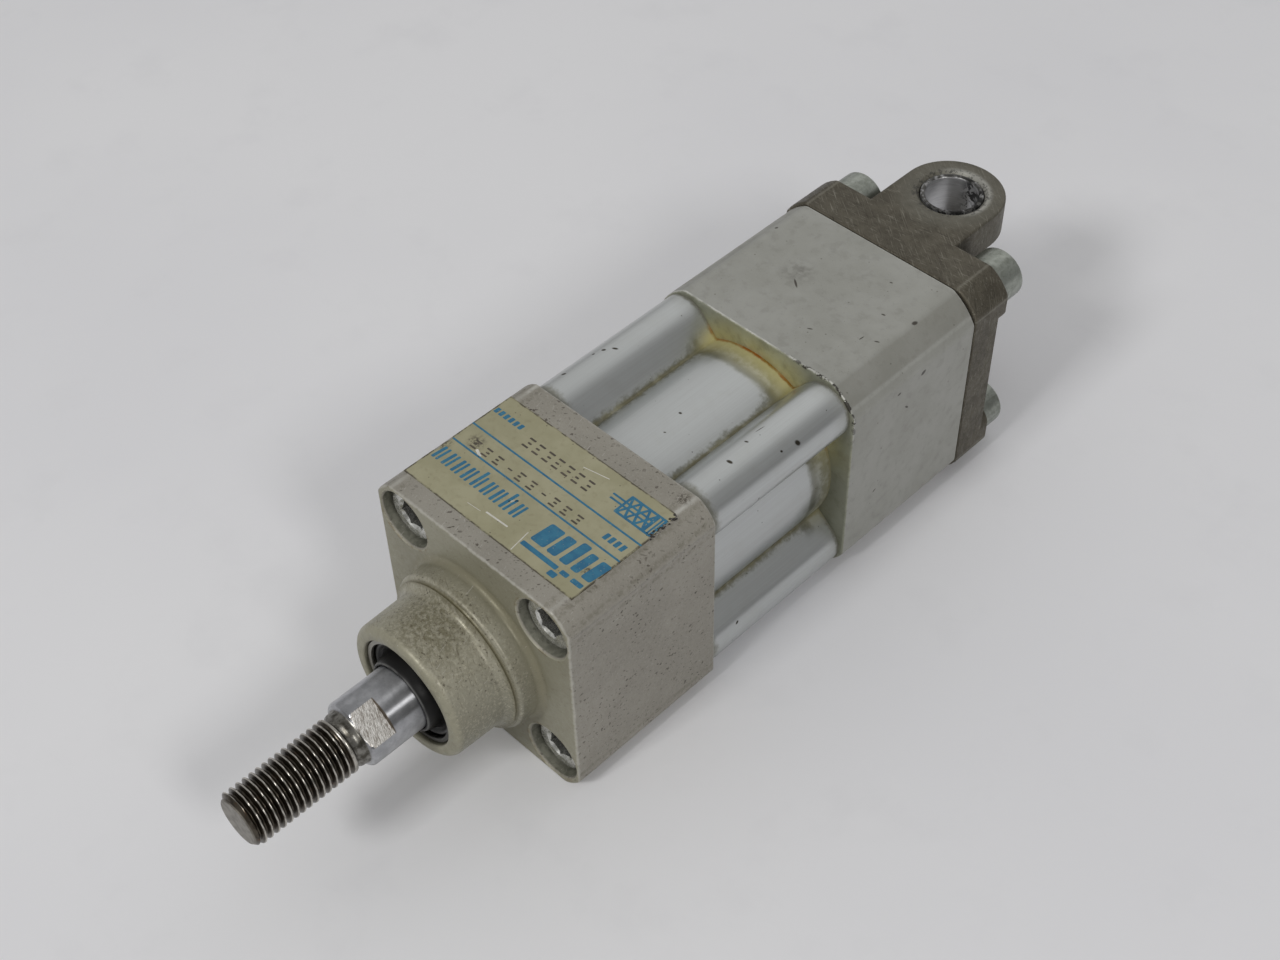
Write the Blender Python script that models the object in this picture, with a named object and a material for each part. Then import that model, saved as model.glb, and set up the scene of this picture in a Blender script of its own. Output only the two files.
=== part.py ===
"""Compact single-acting pneumatic cylinder, 32 mm bore, 5 mm stroke, spring return, with a fork clevis on the rear cap.

Frame: origin at the centre of the footprint, on the surface the caps stand on.
+Y runs from the rod end to the clevis, +Z is up, the cylinder axis is parallel to Y.
Each mesh is drawn in the axis frame: x across, y back from the front cap's face, z up from the axis.
"""

import math

import bmesh
import bpy
from mathutils import Matrix, Vector

MM = 0.001

# Overall layout, in millimetres along the axis from the front cap's face.
E = 45.0                     # side of both caps
AXIS_Z = E / 2               # height of the cylinder axis
FACE_Y = -40.9               # front cap's face in the row frame
FRONT_CAP_END = 32.7
REAR_CAP_START, REAR_CAP_END = 66.7, 99.8
SEAT_GAP = 0.3               # room between two seated pieces
TG = 32.5                    # screw pattern
SCREW = TG / 2
STROKE = 5.0

# Bore, rod and thread.
BORE_R = 16.0
ROD_R = 6.0
ROD_SHOULDER = -27.2
THREAD_TIP = -49.2
THREAD_R = 5.0
NECK_R = 4.2
FLAT_AF = 10.0
FLAT_END = -22.4
FLAT_TURN = 29.6             # degrees from +Z towards +X

# Boss on the front cap.
BOSS_FRONT = -15.1
BOSS_R = 13.0
COLLAR_R = 15.1
COLLAR_FRONT = -4.6
MOUTH_R = 10.2

# Screws M6.
HEAD_R, HEAD_H, SHANK_R, HOLE_R = 5.0, 6.0, 3.0, 3.3
COUNTERBORE_R, COUNTERBORE_DEPTH = 5.5, 8.6

# Clevis.
PLATE_START, PLATE_FLOOR, PLATE_END = REAR_CAP_END + SEAT_GAP, 107.1, 109.5
PIN_Y = 121.0
EYE_R = 10.0
PRONG = 6.9                  # thickness of each prong
PAD_R = 6.5
PIN_BORE_R = 6.1
BUSH_OUT_R, BUSH_IN_R = 5.9, 5.05

# Air ports G1/8.
PORT_R, PORT_DEPTH, PORT_FROM_FACE = 4.6, 9.0, 13.0

ROUND = 36                   # facets round the axis


def clear_scene():
    for obj in list(bpy.data.objects):
        bpy.data.objects.remove(obj, do_unlink=True)
    for block in (bpy.data.meshes, bpy.data.materials):
        for item in list(block):
            block.remove(item)


def material(name, color, roughness, metallic):
    made = bpy.data.materials.new(name)
    made.use_nodes = True
    shader = made.node_tree.nodes["Principled BSDF"]
    shader.inputs["Base Color"].default_value = (*color, 1.0)
    shader.inputs["Roughness"].default_value = roughness
    shader.inputs["Metallic"].default_value = metallic
    made.diffuse_color = (*color, 1.0)
    return made


clear_scene()

axis = bpy.data.objects.new("cylinder_axis", None)
axis.location = (0, FACE_Y * MM, AXIS_Z * MM)
bpy.context.scene.collection.objects.link(axis)
carriage = bpy.data.objects.new("rod_carriage", None)
carriage.parent = axis
bpy.context.scene.collection.objects.link(carriage)


def new_object(name, bm, mat=None, parent=axis, at=(0, 0, 0), smooth=35):
    """Takes a bmesh in millimetres, writes it in metres and hangs it on its parent."""
    bmesh.ops.scale(bm, vec=(MM, MM, MM), verts=bm.verts)
    bmesh.ops.recalc_face_normals(bm, faces=bm.faces)
    mesh = bpy.data.meshes.new(name)
    bm.to_mesh(mesh)
    bm.free()
    mesh.shade_smooth()
    mesh.set_sharp_from_angle(angle=math.radians(smooth))
    return place(name, mesh, mat, parent, at)


def place(name, mesh, mat, parent=axis, at=(0, 0, 0)):
    obj = bpy.data.objects.new(name, mesh)
    if mat and not mesh.materials:
        mesh.materials.append(mat)
    obj.parent = parent
    obj.location = [value * MM for value in at]
    bpy.context.scene.collection.objects.link(obj)
    return obj


def helper(obj):
    obj.hide_render = True
    obj.display_type = "WIRE"
    return obj


def boolean(obj, other, operation="DIFFERENCE"):
    mod = obj.modifiers.new(operation.title() + "_" + other.name, "BOOLEAN")
    mod.operation = operation
    mod.solver = "EXACT"
    mod.object = other
    return mod


def turned(profile, ring=False, segments=ROUND, axis_to="Y", centre=(0, 0, 0)):
    """Spins a profile of (along, radius) points round an axis. A ring's profile is closed."""
    bm = bmesh.new()
    points = [bm.verts.new((radius, along, 0)) for along, radius in profile]
    edges = [bm.edges.new(pair) for pair in zip(points, points[1:])]
    if ring:
        edges.append(bm.edges.new((points[-1], points[0])))
    bmesh.ops.spin(
        bm, geom=points + edges, cent=(0, 0, 0), axis=(0, 1, 0),
        angle=2 * math.pi, steps=segments, use_merge=True,
    )
    bmesh.ops.remove_doubles(bm, verts=bm.verts, dist=1e-4)
    if axis_to == "Z":
        bmesh.ops.rotate(bm, verts=bm.verts, matrix=Matrix.Rotation(math.pi / 2, 3, "X"))
    elif axis_to == "X":
        bmesh.ops.rotate(bm, verts=bm.verts, matrix=Matrix.Rotation(-math.pi / 2, 3, "Z"))
    bmesh.ops.translate(bm, verts=bm.verts, vec=centre)
    return bm


def arc(along, radius, r, start, end, steps=4):
    """Points of a profile's fillet about (along, radius), angles in degrees from +along."""
    return [
        (along + r * math.cos(math.radians(a)), radius + r * math.sin(math.radians(a)))
        for a in (start + (end - start) * i / steps for i in range(steps + 1))
    ]


def rounded_outline(half, radius, steps=5):
    """Corner-rounded square in (x, z), anticlockwise."""
    points = []
    for turn, (sx, sz) in enumerate(((1, 1), (-1, 1), (-1, -1), (1, -1))):
        for i in range(steps + 1):
            a = math.radians(90 * turn + 90 * i / steps)
            points.append((sx * (half - radius) + radius * math.cos(a),
                           sz * (half - radius) + radius * math.sin(a)))
    return points


def extruded(outline, start, end, chamfer=0.0, inset=None):
    """Prism along Y from an outline in (x, z), with an optional chamfer at each end."""
    bm = bmesh.new()
    levels = [(start, outline), (end, outline)]
    if chamfer:
        small = inset
        levels = [(start, small), (start + chamfer, outline), (end - chamfer, outline), (end, small)]
    rings = [[bm.verts.new((x, y, z)) for x, z in ring] for y, ring in levels]
    for low, high in zip(rings, rings[1:]):
        for i in range(len(low)):
            j = (i + 1) % len(low)
            bm.faces.new((low[i], low[j], high[j], high[i]))
    bm.faces.new(rings[0])
    bm.faces.new(rings[-1])
    return bm


def block(low, high):
    bm = bmesh.new()
    bmesh.ops.create_cube(bm, size=1.0)
    for vert in bm.verts:
        vert.co = Vector([l + (c + 0.5) * (h - l) for c, l, h in zip(vert.co, low, high)])
    return bm


def joined(*meshes):
    """One bmesh that holds several separate shapes, for a cutter."""
    total = bmesh.new()
    for bm in meshes:
        mesh = bpy.data.meshes.new("cutter_part")
        bmesh.ops.recalc_face_normals(bm, faces=bm.faces)
        bm.to_mesh(mesh)
        bm.free()
        total.from_mesh(mesh)
        bpy.data.meshes.remove(mesh)
    return total


CORNERS = [(-SCREW, SCREW), (SCREW, SCREW), (SCREW, -SCREW), (-SCREW, -SCREW)]

# ---------------------------------------------------------------- front cap
cast = material("front_cap_cast", (0.36, 0.33, 0.30), 0.55, 0.6)
front_cap = new_object(
    "front_cap",
    extruded(rounded_outline(E / 2, 4.0), 0.0, FRONT_CAP_END, 0.4, rounded_outline(E / 2 - 0.4, 3.6)),
    cast, smooth=25,
)
boss = (
    [(BOSS_FRONT, 0), (BOSS_FRONT, BOSS_R - 1.0)]
    + arc(BOSS_FRONT + 1.0, BOSS_R - 1.0, 1.0, 180, 90, 3)[1:]
    + arc(COLLAR_FRONT - 1.1, BOSS_R + 0.6, 0.6, 270, 360, 2)
    + [(COLLAR_FRONT - 0.5, BOSS_R + 0.7)]
    + arc(COLLAR_FRONT + 0.5, COLLAR_R - 0.9, 0.9, 180, 90, 2)
    + arc(-1.0, COLLAR_R + 1.0, 1.0, 270, 360, 2)
    + [(0.5, COLLAR_R + 1.0), (0.5, 15.0), (33.0, 15.0), (33.0, 15.7),
       (33.9, 15.7), (33.9, 14.0), (36.3, 14.0), (36.3, 15.7), (37.2, 15.7), (37.2, 0)]
)
boss_body = helper(new_object("front_cap_boss_body", turned(boss)))
bore = helper(new_object("front_cap_bore_cutter", turned([
    (BOSS_FRONT - 1, 0), (BOSS_FRONT - 1, MOUTH_R + 0.3), (BOSS_FRONT, MOUTH_R + 0.3),
    (BOSS_FRONT + 0.4, MOUTH_R), (-8.9, MOUTH_R), (-8.9, 8.2), (9.0, 8.2), (9.0, 9.6),
    (35.0, 9.6), (35.0, 13.0), (38.2, 13.0), (38.2, 0),
])))
front_holes = helper(new_object("front_cap_screw_cutter", joined(*[
    turned([(-1, 0), (-1, COUNTERBORE_R), (COUNTERBORE_DEPTH, COUNTERBORE_R),
            (COUNTERBORE_DEPTH, HOLE_R), (34, HOLE_R), (34, 0)], segments=24, centre=(x, 0, z))
    for x, z in CORNERS
])))
port = [(-1, 0), (-1, PORT_R + 0.6), (0, PORT_R + 0.6), (0.6, PORT_R), (PORT_DEPTH, PORT_R),
        (PORT_DEPTH, 2.0), (17.0, 2.0), (17.0, 0)]
front_port = helper(new_object("front_cap_port_cutter", turned(
    port, segments=24, axis_to="X", centre=(-E / 2, PORT_FROM_FACE, 0))))
label_seat = helper(new_object("front_cap_label_cutter", block(
    (-20.1, 3.7, E / 2 - 0.35), (19.6, 27.8, E / 2 + 1))))
boolean(front_cap, boss_body, "UNION")
for cutter in (bore, front_holes, front_port, label_seat):
    boolean(front_cap, cutter)

new_object("label_plate", block((-19.8, 4.0, E / 2 - 0.15), (19.3, 27.5, E / 2 + 0.05)),
           material("label_foil", (0.52, 0.50, 0.32), 0.45, 0.0), smooth=25)

# ---------------------------------------------------------------- rod bearing and seals
new_object("rod_bush", turned(
    [(-8.6, 6.5), (-8.2, 6.1), (8.2, 6.1), (8.6, 6.5), (8.6, 7.95), (-8.6, 7.95)], ring=True),
    material("bush_bronze", (0.55, 0.38, 0.17), 0.35, 1.0))
new_object("rod_seal", turned(
    [(-12.9, 6.15), (-12.4, 6.15), (-9.3, 6.9), (-9.2, 9.9), (-13.5, 9.9), (-13.5, 9.2),
     (-11.2, 8.4), (-11.2, 7.2), (-13.0, 6.5)], ring=True),
    material("seal_rubber", (0.02, 0.02, 0.02), 0.4, 0.0))
new_object("seal_retaining_ring", turned(
    [(-14.4, 9.2), (-14.4, 9.95), (-13.8, 9.95), (-13.8, 9.2)], ring=True),
    material("ring_steel", (0.30, 0.29, 0.26), 0.35, 1.0))


def o_ring(name, along):
    section = [(along + 0.8 * math.cos(math.radians(a)), 15.0 + 0.8 * math.sin(math.radians(a)))
               for a in range(0, 360, 60)]
    new_object(name, turned(section, ring=True), material(name + "_rubber", (0.02, 0.02, 0.02), 0.5, 0.0))


o_ring("front_cap_oring", 35.1)
o_ring("rear_cap_oring", 64.3)


def bumper(name, start, end):
    new_object(name, turned([(start, 10.3), (start, 12.7), (end, 12.7), (end, 10.3)], ring=True),
               material(name + "_rubber", (0.05, 0.05, 0.06), 0.6, 0.0))


bumper("front_bumper", 35.3, 37.5)
bumper("rear_bumper", 61.9, 64.1)

# ---------------------------------------------------------------- barrel
LOBE_R = 5.3
BARREL_R = 18.6
JUNCTION = (9.2, 16.3)       # where a lobe's flank meets the barrel, from the axis


def barrel_outline():
    """Round barrel with four screw lobes, whose flanks are tangent to the lobes."""
    cx = cz = SCREW
    dx, dz = cx - JUNCTION[0], cz - JUNCTION[1]
    reach = math.hypot(dx, dz)
    side = math.asin(LOBE_R / reach)
    heading = math.atan2(dz, dx) + side
    run = math.sqrt(reach ** 2 - LOBE_R ** 2)
    touch = (JUNCTION[0] + run * math.cos(heading), JUNCTION[1] + run * math.sin(heading))
    start = math.atan2(touch[1] - cz, touch[0] - cx)
    # The lobe is symmetrical about the diagonal, so its other flank mirrors this one.
    end = math.pi / 2 - start
    lobe = [(cx + LOBE_R * math.cos(start + (end - start) * i / 10),
             cz + LOBE_R * math.sin(start + (end - start) * i / 10)) for i in range(11)]
    first = math.atan2(JUNCTION[1], JUNCTION[0])
    quarter = [JUNCTION] + lobe + [(JUNCTION[1], JUNCTION[0])]
    quarter.reverse()        # anticlockwise: from the +X side up to the +Z side
    quarter += [(BARREL_R * math.cos(first + (math.pi - 2 * first) * i / 8),
                 BARREL_R * math.sin(first + (math.pi - 2 * first) * i / 8)) for i in range(1, 8)]
    points = []
    for turn in range(4):
        c, s = math.cos(turn * math.pi / 2), math.sin(turn * math.pi / 2)
        points += [(x * c - z * s, x * s + z * c) for x, z in quarter]
    return points


barrel = new_object(
    "barrel", extruded(barrel_outline(), FRONT_CAP_END + SEAT_GAP, REAR_CAP_START - SEAT_GAP),
    material("barrel_anodised", (0.62, 0.64, 0.66), 0.3, 0.9), smooth=30)
barrel_bore = helper(new_object("barrel_bore_cutter", turned(
    [(30, 0), (30, BORE_R), (70, BORE_R), (70, 0)])))
barrel_holes = helper(new_object("barrel_screw_cutter", joined(*[
    turned([(30, 0), (30, HOLE_R), (70, HOLE_R), (70, 0)], segments=24, centre=(x, 0, z))
    for x, z in CORNERS
])))
boolean(barrel, barrel_bore)
boolean(barrel, barrel_holes)

# ---------------------------------------------------------------- rear cap
rear_cap = new_object(
    "rear_cap",
    extruded(rounded_outline(E / 2, 6.0), REAR_CAP_START, REAR_CAP_END, 0.4,
             rounded_outline(E / 2 - 0.4, 5.6)),
    material("rear_cap_cast", (0.42, 0.42, 0.38), 0.5, 0.6), smooth=25)
spigot = helper(new_object("rear_cap_spigot_body", turned([
    (62.2, 0), (62.2, 15.7), (63.1, 15.7), (63.1, 14.0), (65.5, 14.0), (65.5, 15.7),
    (66.4, 15.7), (66.4, 15.0), (70.0, 15.0), (70.0, 0)])))
chamber = helper(new_object("rear_cap_bore_cutter", turned([
    (61.2, 0), (61.2, 13.0), (64.4, 13.0), (64.4, 9.6), (90.0, 9.6), (90.0, 0)])))
rear_holes = helper(new_object("rear_cap_screw_cutter", joined(*[
    turned([(66, 0), (66, HOLE_R), (101, HOLE_R), (101, 0)], segments=24, centre=(x, 0, z))
    for x, z in CORNERS
])))
rear_port = helper(new_object("rear_cap_port_cutter", turned(
    port, segments=24, axis_to="X", centre=(-E / 2, REAR_CAP_END - PORT_FROM_FACE, 0))))
boolean(rear_cap, spigot, "UNION")
for cutter in (chamber, rear_holes, rear_port):
    boolean(rear_cap, cutter)

# ---------------------------------------------------------------- rear clevis
clevis = new_object(
    "rear_clevis",
    extruded(rounded_outline(E / 2, 5.0), PLATE_START, PLATE_END, 0.3, rounded_outline(E / 2 - 0.3, 4.7)),
    material("clevis_ground", (0.15, 0.14, 0.12), 0.45, 0.8), smooth=25)
tongue_outline = [(EYE_R, 101.0)] + [
    (EYE_R * math.cos(math.radians(a)), PIN_Y + EYE_R * math.sin(math.radians(a)))
    for a in range(0, 181, 9)] + [(-EYE_R, 101.0)]
bm = bmesh.new()
low = [bm.verts.new((x, y, -E / 2)) for x, y in tongue_outline]
face = bm.faces.new(low)
made = bmesh.ops.extrude_face_region(bm, geom=[face])
bmesh.ops.translate(bm, vec=(0, 0, E), verts=[g for g in made["geom"] if isinstance(g, bmesh.types.BMVert)])
tongue = helper(new_object("clevis_tongue_body", bm))
slot = helper(new_object("clevis_slot_cutter", block(
    (-30, PLATE_FLOOR, -E / 2 + PRONG), (30, 140, E / 2 - PRONG))))
pads = helper(new_object("clevis_pad_body", joined(*[
    turned([(105, 0), (105, PAD_R), (PLATE_END, PAD_R), (PLATE_END, 0)], segments=24, centre=(x, 0, z))
    for x, z in CORNERS
])))
pin_bore = helper(new_object("clevis_pin_cutter", turned(
    [(-30, 0), (-30, PIN_BORE_R), (30, PIN_BORE_R), (30, 0)], segments=36, axis_to="Z", centre=(0, PIN_Y, 0))))
clevis_holes = helper(new_object("clevis_screw_cutter", joined(*[
    turned([(99, 0), (99, HOLE_R), (112, HOLE_R), (112, 0)], segments=24, centre=(x, 0, z))
    for x, z in CORNERS
])))
boolean(slot, pads)
boolean(clevis, tongue, "UNION")
for cutter in (slot, pin_bore, clevis_holes):
    boolean(clevis, cutter)

bush_metal = material("clevis_bush_steel", (0.35, 0.35, 0.35), 0.3, 1.0)
for name, low_z in (("clevis_bush_upper", E / 2 - PRONG + 0.1), ("clevis_bush_lower", -E / 2 + 0.1)):
    high_z = low_z + PRONG - 0.2
    new_object(name, turned(
        [(low_z, BUSH_IN_R), (low_z, BUSH_OUT_R), (high_z, BUSH_OUT_R), (high_z, BUSH_IN_R)],
        ring=True, segments=36, axis_to="Z", centre=(0, PIN_Y, 0)),
        bush_metal.copy())

# ---------------------------------------------------------------- screws


def socket_screw(head_front, length, forward=1):
    """Socket-head screw. Its head faces -Y when forward is 1 and +Y when it is -1."""
    bm = bmesh.new()
    under = head_front + HEAD_H
    tip = under + length
    profile = [(head_front, HEAD_R - 0.5), (head_front + 0.5, HEAD_R), (under, HEAD_R),
               (under, SHANK_R), (tip - 0.6, SHANK_R), (tip, SHANK_R - 0.6), (tip, 0)]
    points = [bm.verts.new((radius, along, 0)) for along, radius in profile]
    edges = [bm.edges.new(pair) for pair in zip(points, points[1:])]
    bmesh.ops.spin(bm, geom=points + edges, cent=(0, 0, 0), axis=(0, 1, 0),
                   angle=2 * math.pi, steps=24, use_merge=True)
    bmesh.ops.remove_doubles(bm, verts=bm.verts, dist=1e-4)
    rim = [edge for edge in bm.edges if edge.is_boundary]
    hexagon = [(2.5 / math.cos(math.pi / 6) * math.cos(math.radians(60 * i + 30)),
                2.5 / math.cos(math.pi / 6) * math.sin(math.radians(60 * i + 30))) for i in range(6)]
    mouth = [bm.verts.new((x, head_front, z)) for x, z in hexagon]
    floor = [bm.verts.new((x, head_front + 3.2, z)) for x, z in hexagon]
    ring = [bm.edges.new((mouth[i], mouth[(i + 1) % 6])) for i in range(6)]
    for i in range(6):
        j = (i + 1) % 6
        bm.faces.new((mouth[i], mouth[j], floor[j], floor[i]))
    bm.faces.new(floor)
    bmesh.ops.bridge_loops(bm, edges=rim + ring)
    if forward < 0:
        bmesh.ops.rotate(bm, verts=bm.verts, matrix=Matrix.Rotation(math.pi, 3, "Z"))
    return bm


HEAD_FRONT = COUNTERBORE_DEPTH - HEAD_H - SEAT_GAP
first = None
for number, (x, z) in enumerate(CORNERS, 1):
    if first is None:
        first = new_object("front_screw_1", socket_screw(HEAD_FRONT, 35.0),
                           material("front_screw_zinc", (0.55, 0.55, 0.52), 0.3, 1.0), at=(x, 0, z))
    else:
        place(f"front_screw_{number}", first.data, None, at=(x, 0, z))
first = None
REAR_HEAD_END = PLATE_END + SEAT_GAP + HEAD_H
for number, (x, z) in enumerate(CORNERS, 1):
    if first is None:
        first = new_object("rear_screw_1", socket_screw(-REAR_HEAD_END, 55.0, forward=-1),
                           material("rear_screw_zinc", (0.48, 0.50, 0.44), 0.35, 0.9), at=(x, 0, z))
    else:
        place(f"rear_screw_{number}", first.data, None, at=(x, 0, z))

# ---------------------------------------------------------------- rod, piston and nut
PISTON_R, PISTON_START, PISTON_END, SPLIT = 15.6, 42.8, 61.6, 49.4
STUB_R, STUB_BORE = 4.0, 4.3
rod = new_object("piston_rod", turned(
    [(THREAD_TIP, 0), (THREAD_TIP, THREAD_R - 0.9), (THREAD_TIP + 0.9, THREAD_R),
     (ROD_SHOULDER - 2.9, THREAD_R), (ROD_SHOULDER - 2.2, NECK_R), (ROD_SHOULDER, NECK_R),
     (ROD_SHOULDER, ROD_R - 0.7), (ROD_SHOULDER + 0.7, ROD_R), (PISTON_START - SEAT_GAP, ROD_R),
     (PISTON_START - SEAT_GAP, STUB_R), (67.0, STUB_R), (67.6, STUB_R - 0.6), (67.6, 0)]),
    material("rod_chrome", (0.55, 0.55, 0.56), 0.12, 1.0), parent=carriage)
flats = []
for side in (1, -1):
    bm = block((-8, ROD_SHOULDER - 1, FLAT_AF / 2), (8, FLAT_END, 9)) if side > 0 else block(
        (-8, ROD_SHOULDER - 1, -9), (8, FLAT_END, -FLAT_AF / 2))
    bmesh.ops.rotate(bm, verts=bm.verts, matrix=Matrix.Rotation(math.radians(FLAT_TURN), 3, "Y"))
    flats.append(bm)
flat_cutter = helper(new_object("rod_flat_cutter", joined(*flats), parent=carriage))
boolean(rod, flat_cutter)

piston_metal = material("piston_aluminium", (0.55, 0.56, 0.57), 0.35, 0.9)
new_object("piston_front", turned(
    [(PISTON_START, STUB_BORE), (PISTON_START, PISTON_R), (44.0, PISTON_R), (44.0, 12.4), (47.0, 12.4),
     (47.0, PISTON_R), (48.2, PISTON_R), (48.2, 12.8), (SPLIT - 0.15, 12.8), (SPLIT - 0.15, STUB_BORE)],
    ring=True), piston_metal, parent=carriage)
new_object("piston_rear", turned(
    [(SPLIT + 0.15, STUB_BORE), (SPLIT + 0.15, 12.8), (50.6, 12.8), (50.6, PISTON_R), (51.8, PISTON_R),
     (51.8, 14.2), (56.2, 14.2), (56.2, PISTON_R), (57.4, PISTON_R), (57.4, 12.4), (60.4, 12.4),
     (60.4, PISTON_R), (PISTON_END, PISTON_R), (PISTON_END, STUB_BORE)],
    ring=True), piston_metal.copy(), parent=carriage)
new_object("magnet_ring", turned(
    [(48.4, 13.05), (48.4, 15.3), (50.4, 15.3), (50.4, 13.05)], ring=True),
    material("magnet_ferrite", (0.05, 0.045, 0.04), 0.6, 0.2), parent=carriage)
nut = [(6.5 / math.cos(math.pi / 6) * math.cos(math.radians(60 * i)),
        6.5 / math.cos(math.pi / 6) * math.sin(math.radians(60 * i))) for i in range(6)]
piston_nut = new_object("piston_nut", extruded(nut, PISTON_END + SEAT_GAP, 66.9),
                        material("nut_zinc", (0.50, 0.50, 0.48), 0.35, 1.0), parent=carriage, smooth=25)
nut_bore = helper(new_object("piston_nut_cutter", turned(
    [(60, 0), (60, STUB_BORE), (70, STUB_BORE), (70, 0)], segments=24), parent=carriage))
boolean(piston_nut, nut_bore)

# ---------------------------------------------------------------- piston seals and guide


def lip_seal(name, start, end, lip_first):
    """Lip seal in a piston groove, with its lip at the pressure side."""
    lip, heel = (start, end) if lip_first else (end, start)
    step = 1 if lip_first else -1
    new_object(name, turned(
        [(heel, 12.6), (heel, 15.4), (lip + step * 0.4, 15.85), (lip, 15.7), (lip + step * 1.2, 14.2),
         (lip, 12.7)], ring=True),
        material(name + "_rubber", (0.03, 0.03, 0.03), 0.45, 0.0), parent=carriage)


lip_seal("piston_seal_front", 44.2, 46.8, True)
lip_seal("piston_seal_rear", 57.6, 60.2, False)
new_object("guide_ring", turned(
    [(52.0, 14.4), (52.0, 15.85), (56.0, 15.85), (56.0, 14.4)], ring=True),
    material("guide_ring_ptfe", (0.25, 0.16, 0.08), 0.4, 0.0), parent=carriage)

# ---------------------------------------------------------------- return spring
SPRING_MEAN_R, WIRE_R = 7.8, 0.75
SPRING_START, SPRING_END = 9.3, PISTON_START - SEAT_GAP
SPRING_TURNS, DEAD_TURNS, STEPS_PER_TURN, WIRE_SIDES = 8, 1, 16, 6


def coil_spring():
    """Compression spring round the rod: closed coils at both ends, open coils between them."""
    low, high = SPRING_START + WIRE_R, SPRING_END - WIRE_R
    closed_rise = 2 * WIRE_R + 0.12          # one end coil lies on the next with a hair of room
    count = SPRING_TURNS * STEPS_PER_TURN
    open_rise = (high - low - 2 * DEAD_TURNS * closed_rise) / (SPRING_TURNS - 2 * DEAD_TURNS)
    bm = bmesh.new()
    previous, along = None, low
    for step in range(count + 1):
        turn = step / STEPS_PER_TURN
        a = 2 * math.pi * turn
        ring = []
        for side in range(WIRE_SIDES):
            b = 2 * math.pi * side / WIRE_SIDES
            radius = SPRING_MEAN_R + WIRE_R * math.cos(b)
            ring.append(bm.verts.new((radius * math.cos(a), along + WIRE_R * math.sin(b), radius * math.sin(a))))
        if previous:
            for side in range(WIRE_SIDES):
                nxt = (side + 1) % WIRE_SIDES
                bm.faces.new((previous[side], ring[side], ring[nxt], previous[nxt]))
        else:
            bm.faces.new(ring)
        previous = ring
        closed = turn < DEAD_TURNS or turn >= SPRING_TURNS - DEAD_TURNS
        along += (closed_rise if closed else open_rise) / STEPS_PER_TURN
    bm.faces.new(previous)
    return bm


new_object("return_spring", coil_spring(), material("spring_steel", (0.30, 0.31, 0.33), 0.35, 1.0), smooth=80)
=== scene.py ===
"""Looks of the compact pneumatic cylinder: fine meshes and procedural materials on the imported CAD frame.

Meshes are drawn in millimetres in the axis frame, like the CAD source: x across, y back from the front cap's
face, z up from the cylinder axis. put() moves them to the row frame in metres.
"""

import math
import random

import bmesh
import bpy
from mathutils import Matrix, Vector


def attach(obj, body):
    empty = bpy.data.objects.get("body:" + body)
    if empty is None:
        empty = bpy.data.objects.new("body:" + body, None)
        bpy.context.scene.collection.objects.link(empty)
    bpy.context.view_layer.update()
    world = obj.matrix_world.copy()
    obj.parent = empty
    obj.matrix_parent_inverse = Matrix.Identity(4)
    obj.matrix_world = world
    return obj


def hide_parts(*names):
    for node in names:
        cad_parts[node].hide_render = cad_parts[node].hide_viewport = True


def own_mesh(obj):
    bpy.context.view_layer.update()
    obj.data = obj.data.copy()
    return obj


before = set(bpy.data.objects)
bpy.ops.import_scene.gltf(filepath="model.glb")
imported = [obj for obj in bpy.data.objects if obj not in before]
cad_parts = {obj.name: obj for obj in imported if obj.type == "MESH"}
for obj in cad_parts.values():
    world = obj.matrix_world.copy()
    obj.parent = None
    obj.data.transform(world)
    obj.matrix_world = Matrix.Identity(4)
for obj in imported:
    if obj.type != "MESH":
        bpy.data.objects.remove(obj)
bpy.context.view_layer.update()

MM = 0.001
FACE_Y, AXIS_Z = -40.9, 22.5
E = 45.0
SCREW = 16.25
CORNERS = [(-SCREW, SCREW), (SCREW, SCREW), (SCREW, -SCREW), (-SCREW, -SCREW)]
FLAT_TURN = 39.5


def srgb(r, g, b):
    """Linear colour of an sRGB value from 0 to 255."""
    return tuple(((c / 255) / 12.92 if c / 255 <= 0.04045 else ((c / 255 + 0.055) / 1.055) ** 2.4) for c in (r, g, b))


# ------------------------------------------------------------------ mesh helpers


def arc(along, radius, r, start, end, steps=6):
    return [(along + r * math.cos(math.radians(a)), radius + r * math.sin(math.radians(a)))
            for a in (start + (end - start) * i / steps for i in range(steps + 1))]


def lathe(profile, segments=96, ring=False, axis_to="Y", centre=(0, 0, 0)):
    """Turns a profile of (along, radius) points round Y. A ring's profile is closed."""
    bm = bmesh.new()
    loops = []
    for along, radius in profile:
        if radius < 1e-6:
            loops.append([bm.verts.new((0, along, 0))])
        else:
            loops.append([bm.verts.new((radius * math.cos(2 * math.pi * i / segments), along,
                                        radius * math.sin(2 * math.pi * i / segments))) for i in range(segments)])
    pairs = list(zip(loops, loops[1:])) + ([(loops[-1], loops[0])] if ring else [])
    for low, high in pairs:
        if len(low) == 1 and len(high) == 1:
            continue
        for i in range(segments):
            j = (i + 1) % segments
            if len(low) == 1:
                bm.faces.new((low[0], high[i], high[j]))
            elif len(high) == 1:
                bm.faces.new((low[i], high[0], low[j]))
            else:
                bm.faces.new((low[i], high[i], high[j], low[j]))
    if axis_to == "Z":
        bmesh.ops.rotate(bm, verts=bm.verts, matrix=Matrix.Rotation(math.pi / 2, 3, "X"))
    elif axis_to == "X":
        bmesh.ops.rotate(bm, verts=bm.verts, matrix=Matrix.Rotation(-math.pi / 2, 3, "Z"))
    bmesh.ops.translate(bm, verts=bm.verts, vec=centre)
    bmesh.ops.recalc_face_normals(bm, faces=bm.faces)
    return bm


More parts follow.
